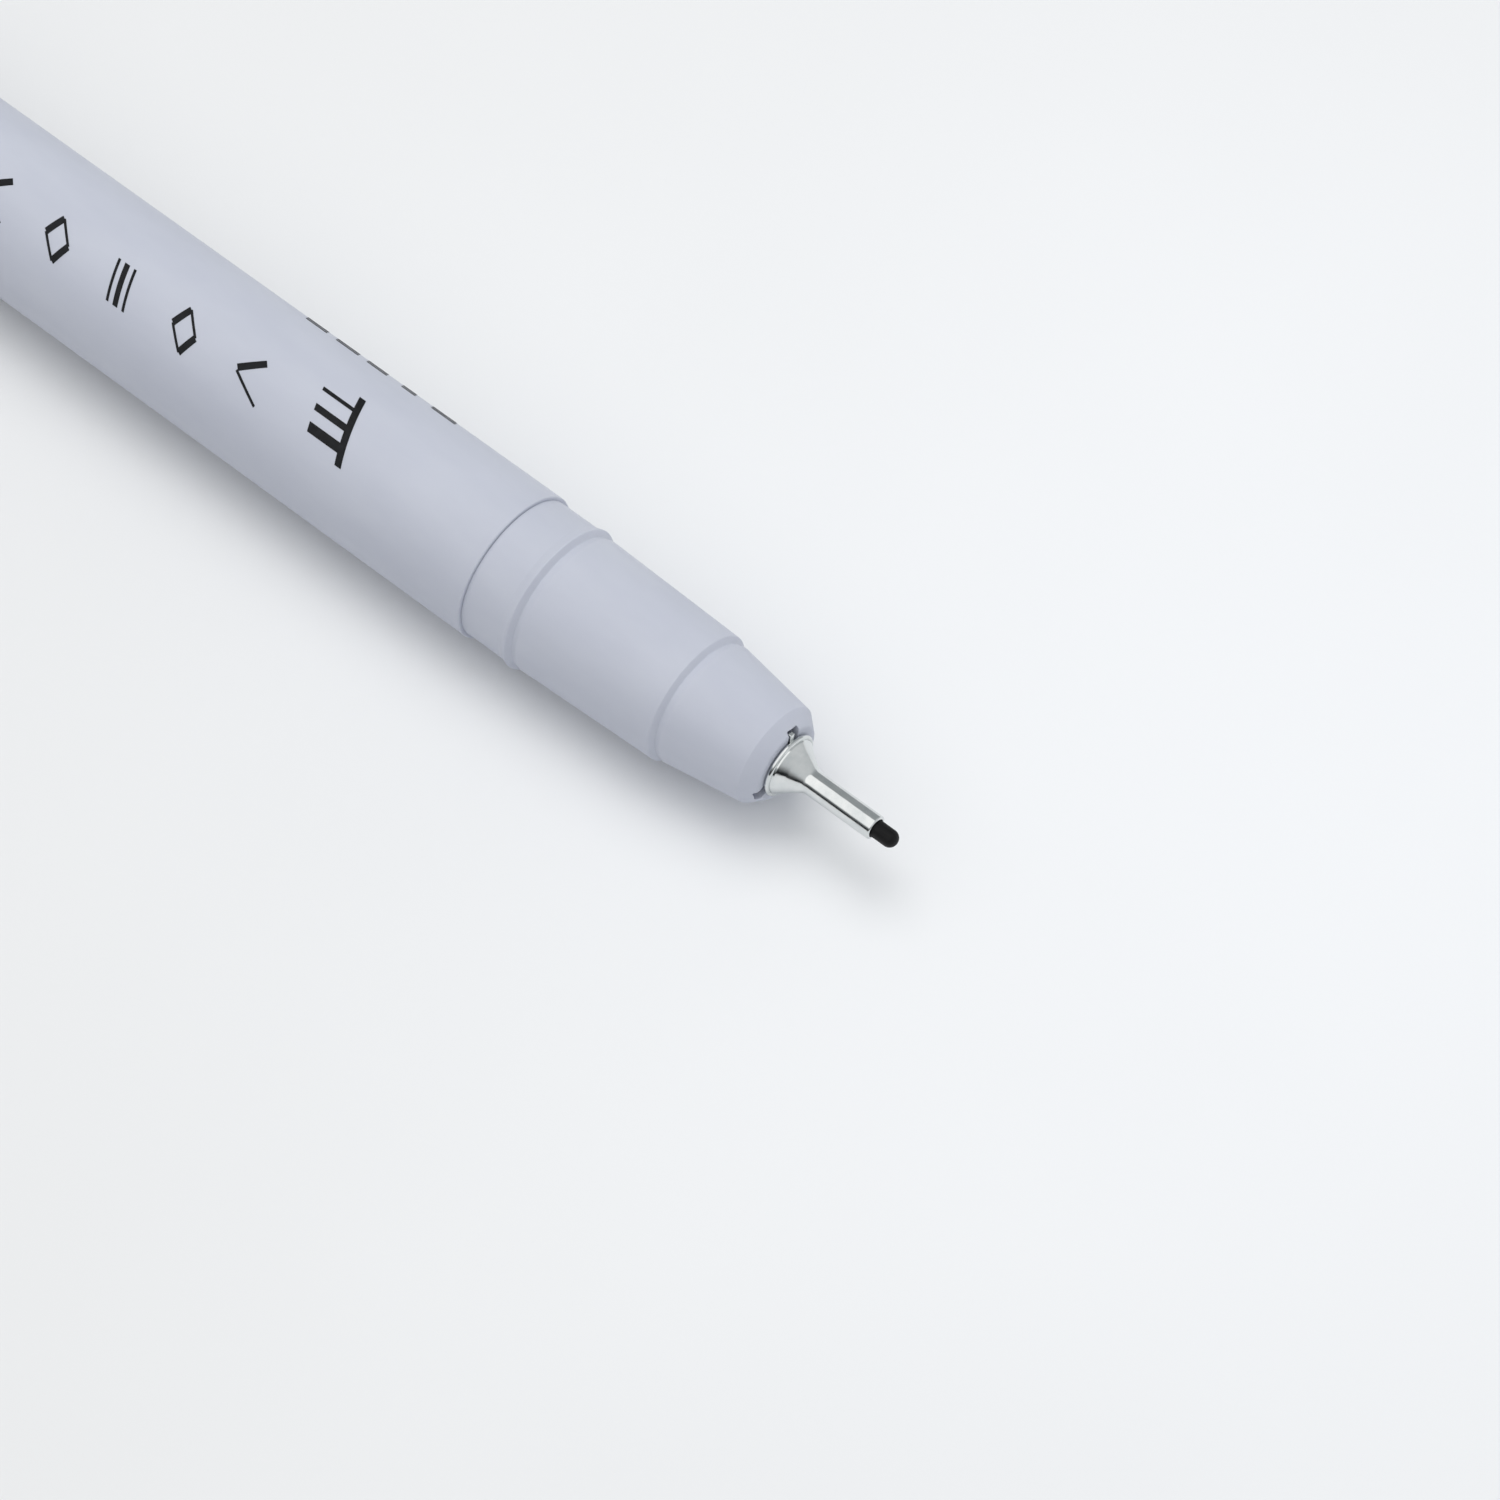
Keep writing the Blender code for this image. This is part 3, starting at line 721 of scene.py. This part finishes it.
@dataclass
class NeedleSleeve:
    """The drawn sleeve: a skirt inside the nose, a rim with a key in one vent, a funnel and the needle."""

    skirt_start: float = 12.0
    skirt_radius: float = 1.5
    skirt_inset: float = 0.1
    wall: float = 0.18
    rim_back: float = 21.2
    rim_radius: float = 2.11
    rim_thickness: float = 0.3
    funnel_radius: float = 1.86
    funnel_lip: float = 0.08
    groove_depth: float = 0.08
    groove_width: float = 0.04
    flare: Corner = (0.62, 1.43, 2.0)  # the funnel's bend, its station counted from the rim
    key_angle: float = math.radians(79)
    key_width: float = 0.34
    key_reach: float = 2.6
    key_thickness: float = 0.3
    key_root: float = 0.3
    key_bite: float = 0.04
    key_round: float = 0.05
    needle_start: float = 23.05
    needle_radius: float = 0.79
    needle_end: float = 28.0
    bore_lead: float = 0.25
    finish: Finish = field(default_factory=DrawnSteel)

    def outline(self) -> list[Corner]:
        """The sleeve's corners, from the needle's end back along the outside and forward along the bore."""
        bore = self.needle_radius - self.wall
        rim_front = self.rim_back + self.rim_thickness
        return [
            (self.needle_end, bore, 0.04),
            (self.needle_end, self.needle_radius, 0.13),
            (self.needle_start, self.needle_radius, 0.5),
            (rim_front + self.flare[0], *self.flare[1:]),
            (rim_front + self.funnel_lip, self.funnel_radius, 0.05),
            (rim_front - self.groove_depth, self.funnel_radius + self.groove_width, 0.02),
            (rim_front - 0.01, self.funnel_radius + self.groove_width * 2, 0.04),
            (rim_front, self.rim_radius, 0.13),
            (self.rim_back, self.rim_radius, 0.1),
            (self.rim_back, self.skirt_radius, 0),
            (self.skirt_start, self.skirt_radius, 0.08),
            (self.skirt_start, self.skirt_radius - self.wall, 0),
            (rim_front - self.skirt_inset, self.skirt_radius - self.wall, 0),
            (self.needle_start - self.bore_lead, bore, 0),
        ]

    def build(self) -> Obj:
        """Turns the sleeve and joins the key to its rim."""
        sleeve = mesh_object("needle_sleeve", turn(self.outline()))
        inner = self.rim_radius - self.key_root
        size = (self.key_thickness, self.key_reach - inner, self.key_width)
        middle = (self.rim_back + self.key_bite - self.key_thickness / 2, (inner + self.key_reach) / 2, 0)
        return combine(sleeve, [block(size, middle, self.key_angle, self.key_round)], "UNION")

    def dress(self, sleeve: Obj) -> None:
        """Places and finishes the sleeve."""
        fit_out(AXIS.place(sleeve), Body.PEN, Slot.STEEL, self.finish, "nib_sleeve")


@dataclass
class Nib:
    """The round-ended fibre rod that draws the line."""

    radius: float = 0.56
    tip: float = 29.55
    tip_roundness: float = 0.97
    rear: float = 5.0
    point_length: float = 1.2
    point_share: float = 0.35
    steps: int = 96
    finish: Finish = field(default_factory=NibFibre)

    def build(self) -> Obj:
        """Turns the rod, with its worn-round end a little flatter than a ball."""
        return mesh_object("fibre_nib", turn([
            (self.tip, 0, 0),
            (self.tip, self.radius, self.radius * self.tip_roundness),
            (self.rear, self.radius, 0),
            (self.rear - self.point_length, self.radius * self.point_share, 0),
            (self.rear - self.point_length, 0, 0),
        ], self.steps))

    def dress(self, rod: Obj) -> None:
        """Places and finishes the rod."""
        fit_out(AXIS.place(rod), Body.PEN, Slot.NIB, self.finish, "nib")


@dataclass
class TailPlug:
    """The plug that closes the barrel and carries the posted cap."""

    shoulder: float = -90.0
    depth: float = 10.0
    seam: float = 0.12
    spigot_radius: float = 4.05
    collar_radius: float = 4.77
    bead: float = 3.05
    bead_rise: Point = (0.1, -0.4)
    bead_fall: Point = (-0.94, -1.14)
    bead_radius: float = 4.83
    post_length: float = 12.0
    post_radius: float = 4.68
    post_draft: float = 0.08
    hollow: float = 3.2
    wall: float = 1.4
    vent: float = 0.45
    notch_width: float = 2.0
    notch_depth: float = 2.5
    notch_round: float = 0.2
    finish: Finish = field(default_factory=MouldedPolypropylene)

    def outline(self) -> list[Corner]:
        """The plug's corners, from its mouth in the barrel back along the outside and forward inside."""
        front = self.shoulder + self.depth
        end = self.shoulder - self.post_length
        bead = self.shoulder - self.bead
        return [
            (front, self.hollow, 0.1),
            (front, self.spigot_radius, 0.2),
            (self.shoulder - self.seam, self.spigot_radius, 0),
            (self.shoulder - self.seam, self.collar_radius, 0.08),
            (bead + self.bead_rise[0], self.collar_radius, 0.5),
            (bead + self.bead_rise[1], self.bead_radius, 0.6),
            (bead + self.bead_fall[0], self.bead_radius - 0.01, 0.12),
            (bead + self.bead_fall[1], self.post_radius, 0.15),
            (end, self.post_radius - self.post_draft, 0.9),
            (end, self.vent, 0.12),
            (end + self.wall, self.vent, 0),
            (end + self.wall, self.hollow, 0.6),
        ]

    def build(self) -> Obj:
        """Turns the plug and notches its front edge, which lets air past the ink store."""
        plug = mesh_object("tail_plug_moulding", turn(self.outline()))
        front = self.shoulder + self.depth
        size = (self.notch_depth * 2, self.spigot_radius * 2.5, self.notch_width)
        notches = [block(size, (front, 0, 0), a, self.notch_round) for a in (0, math.pi / 2)]
        return combine(plug, notches, "DIFFERENCE")

    def dress(self, plug: Obj) -> None:
        """Places and finishes the plug."""
        fit_out(AXIS.place(plug), Body.PEN, Slot.PLASTIC, self.finish, "tail_plug")


@dataclass
class Cap:
    """The posted cap: its shell, the inner cap that seals on the nose, and the crown in its end."""

    mouth: float = -90.12
    length: float = 36.0
    radius: float = 5.7
    bore: float = 4.88
    groove: float = -3.55
    groove_radius: float = 4.96
    groove_half: float = 0.3
    groove_half_open: float = 0.8
    crown_thickness: float = 1.6
    crown_radius: float = 5.5
    crown_shoulder: float = 0.35
    crown_spigot: float = 3.4
    crown_spigot_gap: float = 0.3
    end_wall: float = 2.4
    crown_gap: float = 0.05
    dish_radius: float = 1.5
    dish_depth: float = 0.12
    dish_slope: float = 0.3
    liner_mouth: float = -12.8
    liner_mouth_radius: float = 4.46
    liner_radius: float = 4.83
    liner_shoulder: float = -22.5
    liner_tip: float = -23.5
    liner_tip_radius: float = 3.0
    liner_floor: float = 0.9
    seal: tuple[Corner, ...] = ((-23.6, 1.7, 0.3), (-21.0, 3.4, 0.2), (-15.2, 4.22, 0.2), (-14.4, 4.42, 0))
    clip_slot_depth: float = 0.8
    clip_slot_width: float = 3.8
    clip_slot_floor: float = 2.9
    seam: float = 0.12
    finish: Finish = field(default_factory=MouldedPolypropylene)
    liner_finish: Finish = field(default_factory=NaturalPolypropylene)

    def turned(self, name: str, corners: list[Corner]) -> Obj:
        """Turns one of the cap's pieces, whose stations run from the cap's mouth."""
        return mesh_object(name, turn([(self.mouth + s, r, fillet) for s, r, fillet in corners]))

    def shell(self) -> Obj:
        """The outer moulding, with the snap groove in its bore and the clip's slot in its end."""
        end = -self.length + self.crown_thickness
        shell = self.turned("cap_shell_moulding", [
            (0, self.bore, 0.12),
            (0, self.radius, 0.3),
            (end, self.radius, 0.15),
            (end, self.crown_spigot + self.crown_gap, 0),
            (end + self.end_wall, self.crown_spigot + self.crown_gap, 0),
            (end + self.end_wall, self.bore, 0.3),
            (self.groove - self.groove_half_open, self.bore, 0),
            (self.groove - self.groove_half, self.groove_radius, 0),
            (self.groove + self.groove_half, self.groove_radius, 0),
            (self.groove + self.groove_half_open, self.bore, 0),
        ])
        size = (self.clip_slot_depth * 2, self.radius, self.clip_slot_width)
        middle = (self.mouth + end, self.clip_slot_floor + self.radius / 2, 0)
        return combine(shell, [block(size, middle, math.pi / 2)], "DIFFERENCE")

    def liner(self) -> Obj:
        """The inner cap, whose bore narrows in the steps that seal on the section's cone."""
        end = -self.length + self.crown_thickness + self.end_wall + self.seam
        floor = end + self.liner_floor
        return self.turned("cap_liner_moulding", [
            (self.liner_mouth, self.liner_mouth_radius, 0.1),
            (self.liner_mouth, self.liner_radius, 0.14),
            (self.liner_shoulder, self.liner_radius, 0.3),
            (self.liner_tip, self.liner_tip_radius, 0.3),
            (end, self.liner_tip_radius, 0.4),
            (end, 0, 0),
            (floor, 0, 0),
            (floor, self.seal[0][1], 0.3),
            *self.seal,
        ])

    def crown(self) -> Obj:
        """The end plug, with a shallow dish in its face where it was gated."""
        seat = -self.length + self.crown_thickness - self.crown_gap
        spigot_end = seat + self.end_wall - self.crown_spigot_gap
        return self.turned("cap_crown_moulding", [
            (spigot_end, 0, 0),
            (spigot_end, self.crown_spigot, 0.2),
            (seat, self.crown_spigot, 0),
            (seat, self.crown_radius, 0.12),
            (-self.length, self.crown_radius - self.crown_shoulder, 0.45),
            (-self.length, self.dish_radius, 0.1),
            (-self.length + self.dish_depth, self.dish_radius - self.dish_slope, 0.2),
            (-self.length + self.dish_depth, 0, 0),
        ])

    def build(self) -> list[Obj]:
        """Makes the three pieces."""
        return [self.shell(), self.liner(), self.crown()]

    def dress(self, pieces: list[Obj]) -> None:
        """Places and finishes the three pieces."""
        looks = ((Slot.PLASTIC, self.finish, "cap_shell"), (Slot.NATURAL, self.liner_finish, "cap_liner"),
                 (Slot.PLASTIC, self.finish, "cap_crown"))
        for piece, (slot, finish, node) in zip(pieces, looks):
            fit_out(AXIS.place(piece, AXIS.cap_turn), Body.CAP, slot, finish, node)


@dataclass
class PocketClip:
    """The sprung strip along the cap, bent from flat stock."""

    mouth: float = -90.12
    tongue_station: float = -34.13
    tongue_end: float = 3.75
    thickness: float = 0.5
    half_width: float = 1.8
    crest: float = 7.65
    arm_end: float = -10.0
    touch_start: float = -5.8
    free_end: float = -3.3
    free_end_lift: float = 0.9
    cap_radius: float = 5.7
    end_gap: float = 0.15
    edge_round: float = 0.1
    edge_steps: int = 3
    widest_mitre: float = 0.5
    finish: Finish = field(default_factory=RolledSteel)

    def middle_line(self) -> list[Vector]:
        """The strip's middle line, from its tongue round to its free end."""
        half = self.thickness / 2
        arm = self.crest - half
        touch = self.cap_radius + self.end_gap + half
        return rounded([
            (self.tongue_station, self.tongue_end, 0),
            (self.tongue_station, arm, 0.75),
            (self.arm_end, arm, 3.0),
            (self.touch_start, touch, 1.6),
            (self.free_end, touch + self.free_end_lift, 0),
        ], closed=False)

    def build(self) -> Obj:
        """Sweeps the strip's section along the middle line and rounds its edges."""
        line = self.middle_line()
        half = self.thickness / 2
        shape = bmesh.new()
        rings = []
        for i, here in enumerate(line):
            back = (here - line[i - 1]).normalized() if i else (line[1] - here).normalized()
            on = (line[i + 1] - here).normalized() if i < len(line) - 1 else back
            along = (back + on).normalized()
            out = Vector((-along.y, along.x)) * half / max(along.dot(on), self.widest_mitre)
            sides = [(here + out, 1), (here + out, -1), (here - out, -1), (here - out, 1)]
            rings.append([shape.verts.new((self.mouth + p.x, side * self.half_width, p.y))
                          for p, side in sides])
        for a, b in zip(rings, rings[1:]):
            for k in range(4):
                shape.faces.new((a[k], a[(k + 1) % 4], b[(k + 1) % 4], b[k]))
        shape.faces.new(rings[0][::-1])
        shape.faces.new(rings[-1])
        sharp = [e for e in shape.edges if e.calc_face_angle(0) > SHARP_ANGLE]
        bmesh.ops.bevel(shape, geom=sharp, offset=self.edge_round, segments=self.edge_steps, affect="EDGES",
                        profile=0.5)
        return mesh_object("clip_strip", shape)

    def dress(self, strip: Obj) -> None:
        """Places and finishes the strip."""
        fit_out(AXIS.place(strip, AXIS.cap_turn), Body.CLIP, Slot.STEEL, self.finish, "pocket_clip")


@dataclass
class BarrelPrint:
    """The printing on the barrel: a row of slanted gauge marks and a row of short ticks, with no lettering.

    The parts of a mark are shares of its half height or half width. Each gauge step is a height and the
    width of its line in thin strokes.
    """

    radius: float = 5.0
    film: float = 0.012
    film_root: float = 0.006
    baseline: float = math.radians(131)
    large_station: float = -12.95
    small_station: float = -19.1
    pitch: float = 5.25
    large: float = 4.36
    small: float = 2.55
    slant: float = math.radians(20)
    row: tuple[Mark, ...] = (Mark.CHEVRON, Mark.RHOMBUS, Mark.BARS, Mark.RHOMBUS, Mark.CHEVRON, Mark.BARS)
    aspect: float = 0.72
    pen_width: Point = (0.12, 0.03)  # the thin stroke, and how it grows with a mark's height
    gauge_post: float = 0.75
    gauge_reach: Point = (0.6, -0.95)
    gauge_steps: tuple[Point, ...] = ((-0.55, 1), (0, 1.7), (0.55, 2.4))
    chevron_split: float = 0.06
    bar_gap: float = 0.7
    tick_angle: float = math.radians(34)
    tick_gap: float = 0.432
    tick_width: float = 0.24
    tick_stations: tuple[float, ...] = (-9.2, -12.0, -14.55, -16.95, -19.45)
    tick_lengths: tuple[float, ...] = (1.9, 1.1, 1.6, 1.8, 1.7)
    bend_step: float = 0.12
    finish: Finish = field(default_factory=PadPrintInk)

    @staticmethod
    def stroke(start: Point, end: Point, width: float) -> list[Point]:
        """The four corners of a straight stroke of ink."""
        a, b = Vector(start), Vector(end)
        side = (b - a).orthogonal().normalized() * width / 2
        return [tuple(a + side), tuple(a - side), tuple(b - side), tuple(b + side)]

    def strokes(self, mark: Mark, height: float) -> list[list[Point]]:
        """The strokes of a mark.

        Args:
            mark: which mark.
            height: its height round the barrel.

        Returns:
            One polygon a stroke, with x along the pen and y round it.
        """
        h, w = height / 2, height / 2 * self.aspect
        thin = self.pen_width[0] + height * self.pen_width[1]
        thick = 2 * thin
        if mark is Mark.GAUGE:
            post, (near, far) = self.gauge_post * w, self.gauge_reach
            ticks = [self.stroke((near * w, h * y), (far * w, h * y), thin * t)
                     for y, t in self.gauge_steps]
            return [self.stroke((post, -h), (post, h), thick), *ticks]
        if mark is Mark.CHEVRON:
            split = self.chevron_split * h
            return [self.stroke((w, h), (-w, split), thin), self.stroke((-w, -split), (w, -h), thick)]
        if mark is Mark.RHOMBUS:
            return [self.stroke((0, h), (w, 0), thick), self.stroke((w, 0), (0, -h), thin),
                    self.stroke((0, -h), (-w, 0), thick), self.stroke((-w, 0), (0, h), thin)]
        gap = self.bar_gap * w
        return [self.stroke((x, -h), (x, h), t) for x, t in ((-gap, thin), (0, thick), (gap, thin))]

    def printed(self, name: str, polygons: list[list[Point]], station: float, angle: float) -> Obj:
        """Wraps flat polygons round the barrel as a film of ink.

        Args:
            name: the piece's name.
            polygons: the ink's outlines, in millimetres.
            station: where its middle lies along the pen.
            angle: where its middle lies round the pen, from +Y towards +Z.

        Returns:
            The film.
        """
        shape = bmesh.new()
        for polygon in polygons:
            flat = bmesh.new()
            flat.faces.new([flat.verts.new((x, y, 0)) for x, y in polygon])
            reach = max(abs(y) for _, y in polygon)
            cuts = max(2, math.ceil(reach / self.bend_step))
            for k in range(-cuts, cuts + 1):
                bmesh.ops.bisect_plane(flat, geom=flat.verts[:] + flat.edges[:] + flat.faces[:],
                                       plane_co=(0, k * reach / cuts, 0), plane_no=(0, 1, 0))
            skin = bmesh.ops.extrude_face_region(flat, geom=flat.faces[:])
            raised = [g for g in skin["geom"] if isinstance(g, bmesh.types.BMVert)]
            bmesh.ops.translate(flat, vec=(0, 0, self.film + self.film_root), verts=raised)
            part = bpy.data.meshes.new(name)
            flat.to_mesh(part)
            flat.free()
            shape.from_mesh(part)
            bpy.data.meshes.remove(part)
        shear = math.tan(self.slant)
        for vert in shape.verts:
            x, y, lift = vert.co
            turned_to = angle + y / self.radius
            out = self.radius + lift - self.film_root
            vert.co = (station + x + y * shear, out * math.cos(turned_to), out * math.sin(turned_to))
        return mesh_object(name, shape)

    def build(self) -> list[Obj]:
        """Prints both rows."""
        marks = [(Mark.GAUGE, self.large, self.large_station)]
        marks += [(mark, self.small, self.small_station - k * self.pitch)
                  for k, mark in enumerate(self.row)]
        films = [self.printed(f"printed_{mark.value}_{k}", self.strokes(mark, height), station,
                              self.baseline - height / 2 / self.radius)
                 for k, (mark, height, station) in enumerate(marks)]
        for k, (station, length) in enumerate(zip(self.tick_stations, self.tick_lengths)):
            lines = [self.stroke((-length / 2, y), (length / 2, y), self.tick_width)
                     for y in (-self.tick_gap, 0, self.tick_gap)]
            films.append(self.printed(f"printed_tick_{k}", lines, station, self.tick_angle))
        return films

    def dress(self, films: list[Obj]) -> None:
        """Places and finishes the printing."""
        for film in films:
            fit_out(AXIS.place(film), Body.PEN, Slot.NIB, self.finish)


@dataclass
class Inside:
    """The hidden pieces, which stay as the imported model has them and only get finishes."""

    finishes: dict[str, Finish] = field(default_factory=lambda: {
        "nib_guide": NaturalPolypropylene(),
        "relay_holder": NaturalPolypropylene(),
        "ink_relay": InkedFelt(),
        "ink_reservoir": InkedFelt(),
        "reservoir_film": WrapFilm(),
    })

    def dress(self) -> None:
        """Finishes each of them."""
        for name, finish in self.finishes.items():
            node = frame["nodes"][name]
            node.data.materials.clear()
            node.data.materials.append(finish.material())
            LOG.info("%s: dressed as it is", name)


# ---------------------------------------------------------------- studio


@dataclass
class Studio:
    """The table, the lights and the camera."""

    table_side: float = 8.0  # m
    table_cells: int = 8
    azimuth: float = math.radians(40.62)
    elevation: float = math.radians(57.19)
    distance: float = 0.39897  # m
    aim: Triple = (18.936, -0.658, 0.0)  # mm from the barrel's front rim, in the pen's own directions
    lens: float = 164.34
    sensor: float = 36.0
    clip_start: float = 0.01
    panel_axis: Triple = (-0.12, -0.355, 0.927)
    panel_edge: Point = (0.72, 0.78)  # where the panel begins and is full, as the cosine from its axis
    window_edge: Point = (-0.3, 0.6)  # the same for the lighter wall, along +X
    dark_height: Point = (0.6, 0.1)  # for the dark side, downwards
    dark_side: Point = (0.0, -0.6)  # and towards -Y
    panel_colour: str = "#FFFFFF"
    wall_colour: str = "#969A9C"
    window_colour: str = "#C8CACC"
    dark_colour: str = "#1E2022"
    room_strength: float = 1.15
    key_place: Triple = (-0.18, 0.22, 1.05)  # m
    key_size: float = 0.85  # m
    key_power: float = 4.85  # W
    key_colour: str = "#FFFDFA"
    paper: Finish = field(default_factory=StudioPaper)

    def table(self) -> Obj:
        """The pale surface that the pen lies on."""
        shape = bmesh.new()
        bmesh.ops.create_grid(shape, x_segments=self.table_cells, y_segments=self.table_cells,
                              size=self.table_side / MM / 2)
        table = mesh_object("table", shape)
        table.data.materials.append(self.paper.material())
        return table

    def key_light(self) -> Obj:
        """The square softbox, kept out of reflections so that the panel's edge shows in the needle."""
        data = bpy.data.lights.new("key_softbox", "AREA")
        data.size = self.key_size
        data.energy = self.key_power
        data.color = hex_to_linear(self.key_colour)[:3]
        lamp = bpy.data.objects.new("key_softbox", data)
        bpy.context.scene.collection.objects.link(lamp)
        lamp.location = self.key_place
        lamp.rotation_euler = (-Vector(self.key_place)).to_track_quat("-Z", "Y").to_euler()
        lamp.visible_glossy = False
        return lamp

    def room(self) -> None:
        """The room's light: a broad soft panel overhead, grey walls, and a dark side low down at -Y."""
        world = bpy.data.worlds.new("studio_room")
        bpy.context.scene.world = world
        world.use_nodes = True
        tree = world.node_tree
        direction = add_node(tree, "ShaderNodeTexCoord").outputs["Generated"]
        along, across, up = add_node(tree, "ShaderNodeSeparateXYZ", {0: direction}).outputs
        facing = add_node(tree, "ShaderNodeVectorMath", {0: direction, 1: self.panel_axis},
                          operation="DOT_PRODUCT").outputs["Value"]
        window, panel, low, side = (
            add_node(tree, "ShaderNodeMapRange", {"Value": value, "From Min": start, "From Max": full},
                     interpolation_type="SMOOTHSTEP").outputs[0]
            for value, (start, full) in ((along, self.window_edge), (facing, self.panel_edge),
                                         (up, self.dark_height), (across, self.dark_side)))
        dark = add_node(tree, "ShaderNodeMath", {0: low, 1: side}, operation="MULTIPLY").outputs[0]
        light = hex_to_linear(self.wall_colour)
        for share, code in ((window, self.window_colour), (panel, self.panel_colour),
                            (dark, self.dark_colour)):
            light = add_node(tree, "ShaderNodeMix", {0: share, 6: light, 7: hex_to_linear(code)},
                             data_type="RGBA").outputs[2]
        feed(tree, tree.nodes["Background"], {"Color": light, "Strength": self.room_strength})

    def camera(self) -> Obj:
        """The camera, aimed at the nose from above its left."""
        data = bpy.data.cameras.new("camera")
        data.lens = self.lens
        data.sensor_width = self.sensor
        data.clip_start = self.clip_start
        camera = bpy.data.objects.new("camera", data)
        bpy.context.scene.collection.objects.link(camera)
        back = Vector((math.sin(self.azimuth) * math.cos(self.elevation),
                       -math.cos(self.azimuth) * math.cos(self.elevation), math.sin(self.elevation)))
        seat = Vector(self.aim) * MM + back * self.distance
        camera.matrix_world = AXIS.matrix @ Matrix.LocRotScale(
            seat, (-back).to_track_quat("-Z", "Y"), None)
        bpy.context.scene.camera = camera
        return camera

    def build(self) -> None:
        """Sets the studio up."""
        self.table()
        self.key_light()
        self.room()
        self.camera()
        bpy.context.scene.view_settings.view_transform = "Standard"


def main() -> None:
    """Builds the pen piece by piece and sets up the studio."""
    logging.basicConfig(level=logging.INFO, format="%(name)s: %(message)s")
    for sub_assembly in (Barrel(), GripSection(), NeedleSleeve(), Nib(), TailPlug(), Cap(), PocketClip(),
                         BarrelPrint()):
        LOG.info("building %s", type(sub_assembly).__name__)
        sub_assembly.dress(sub_assembly.build())
    Inside().dress()
    Studio().build()


if __name__ == "__main__":
    main()
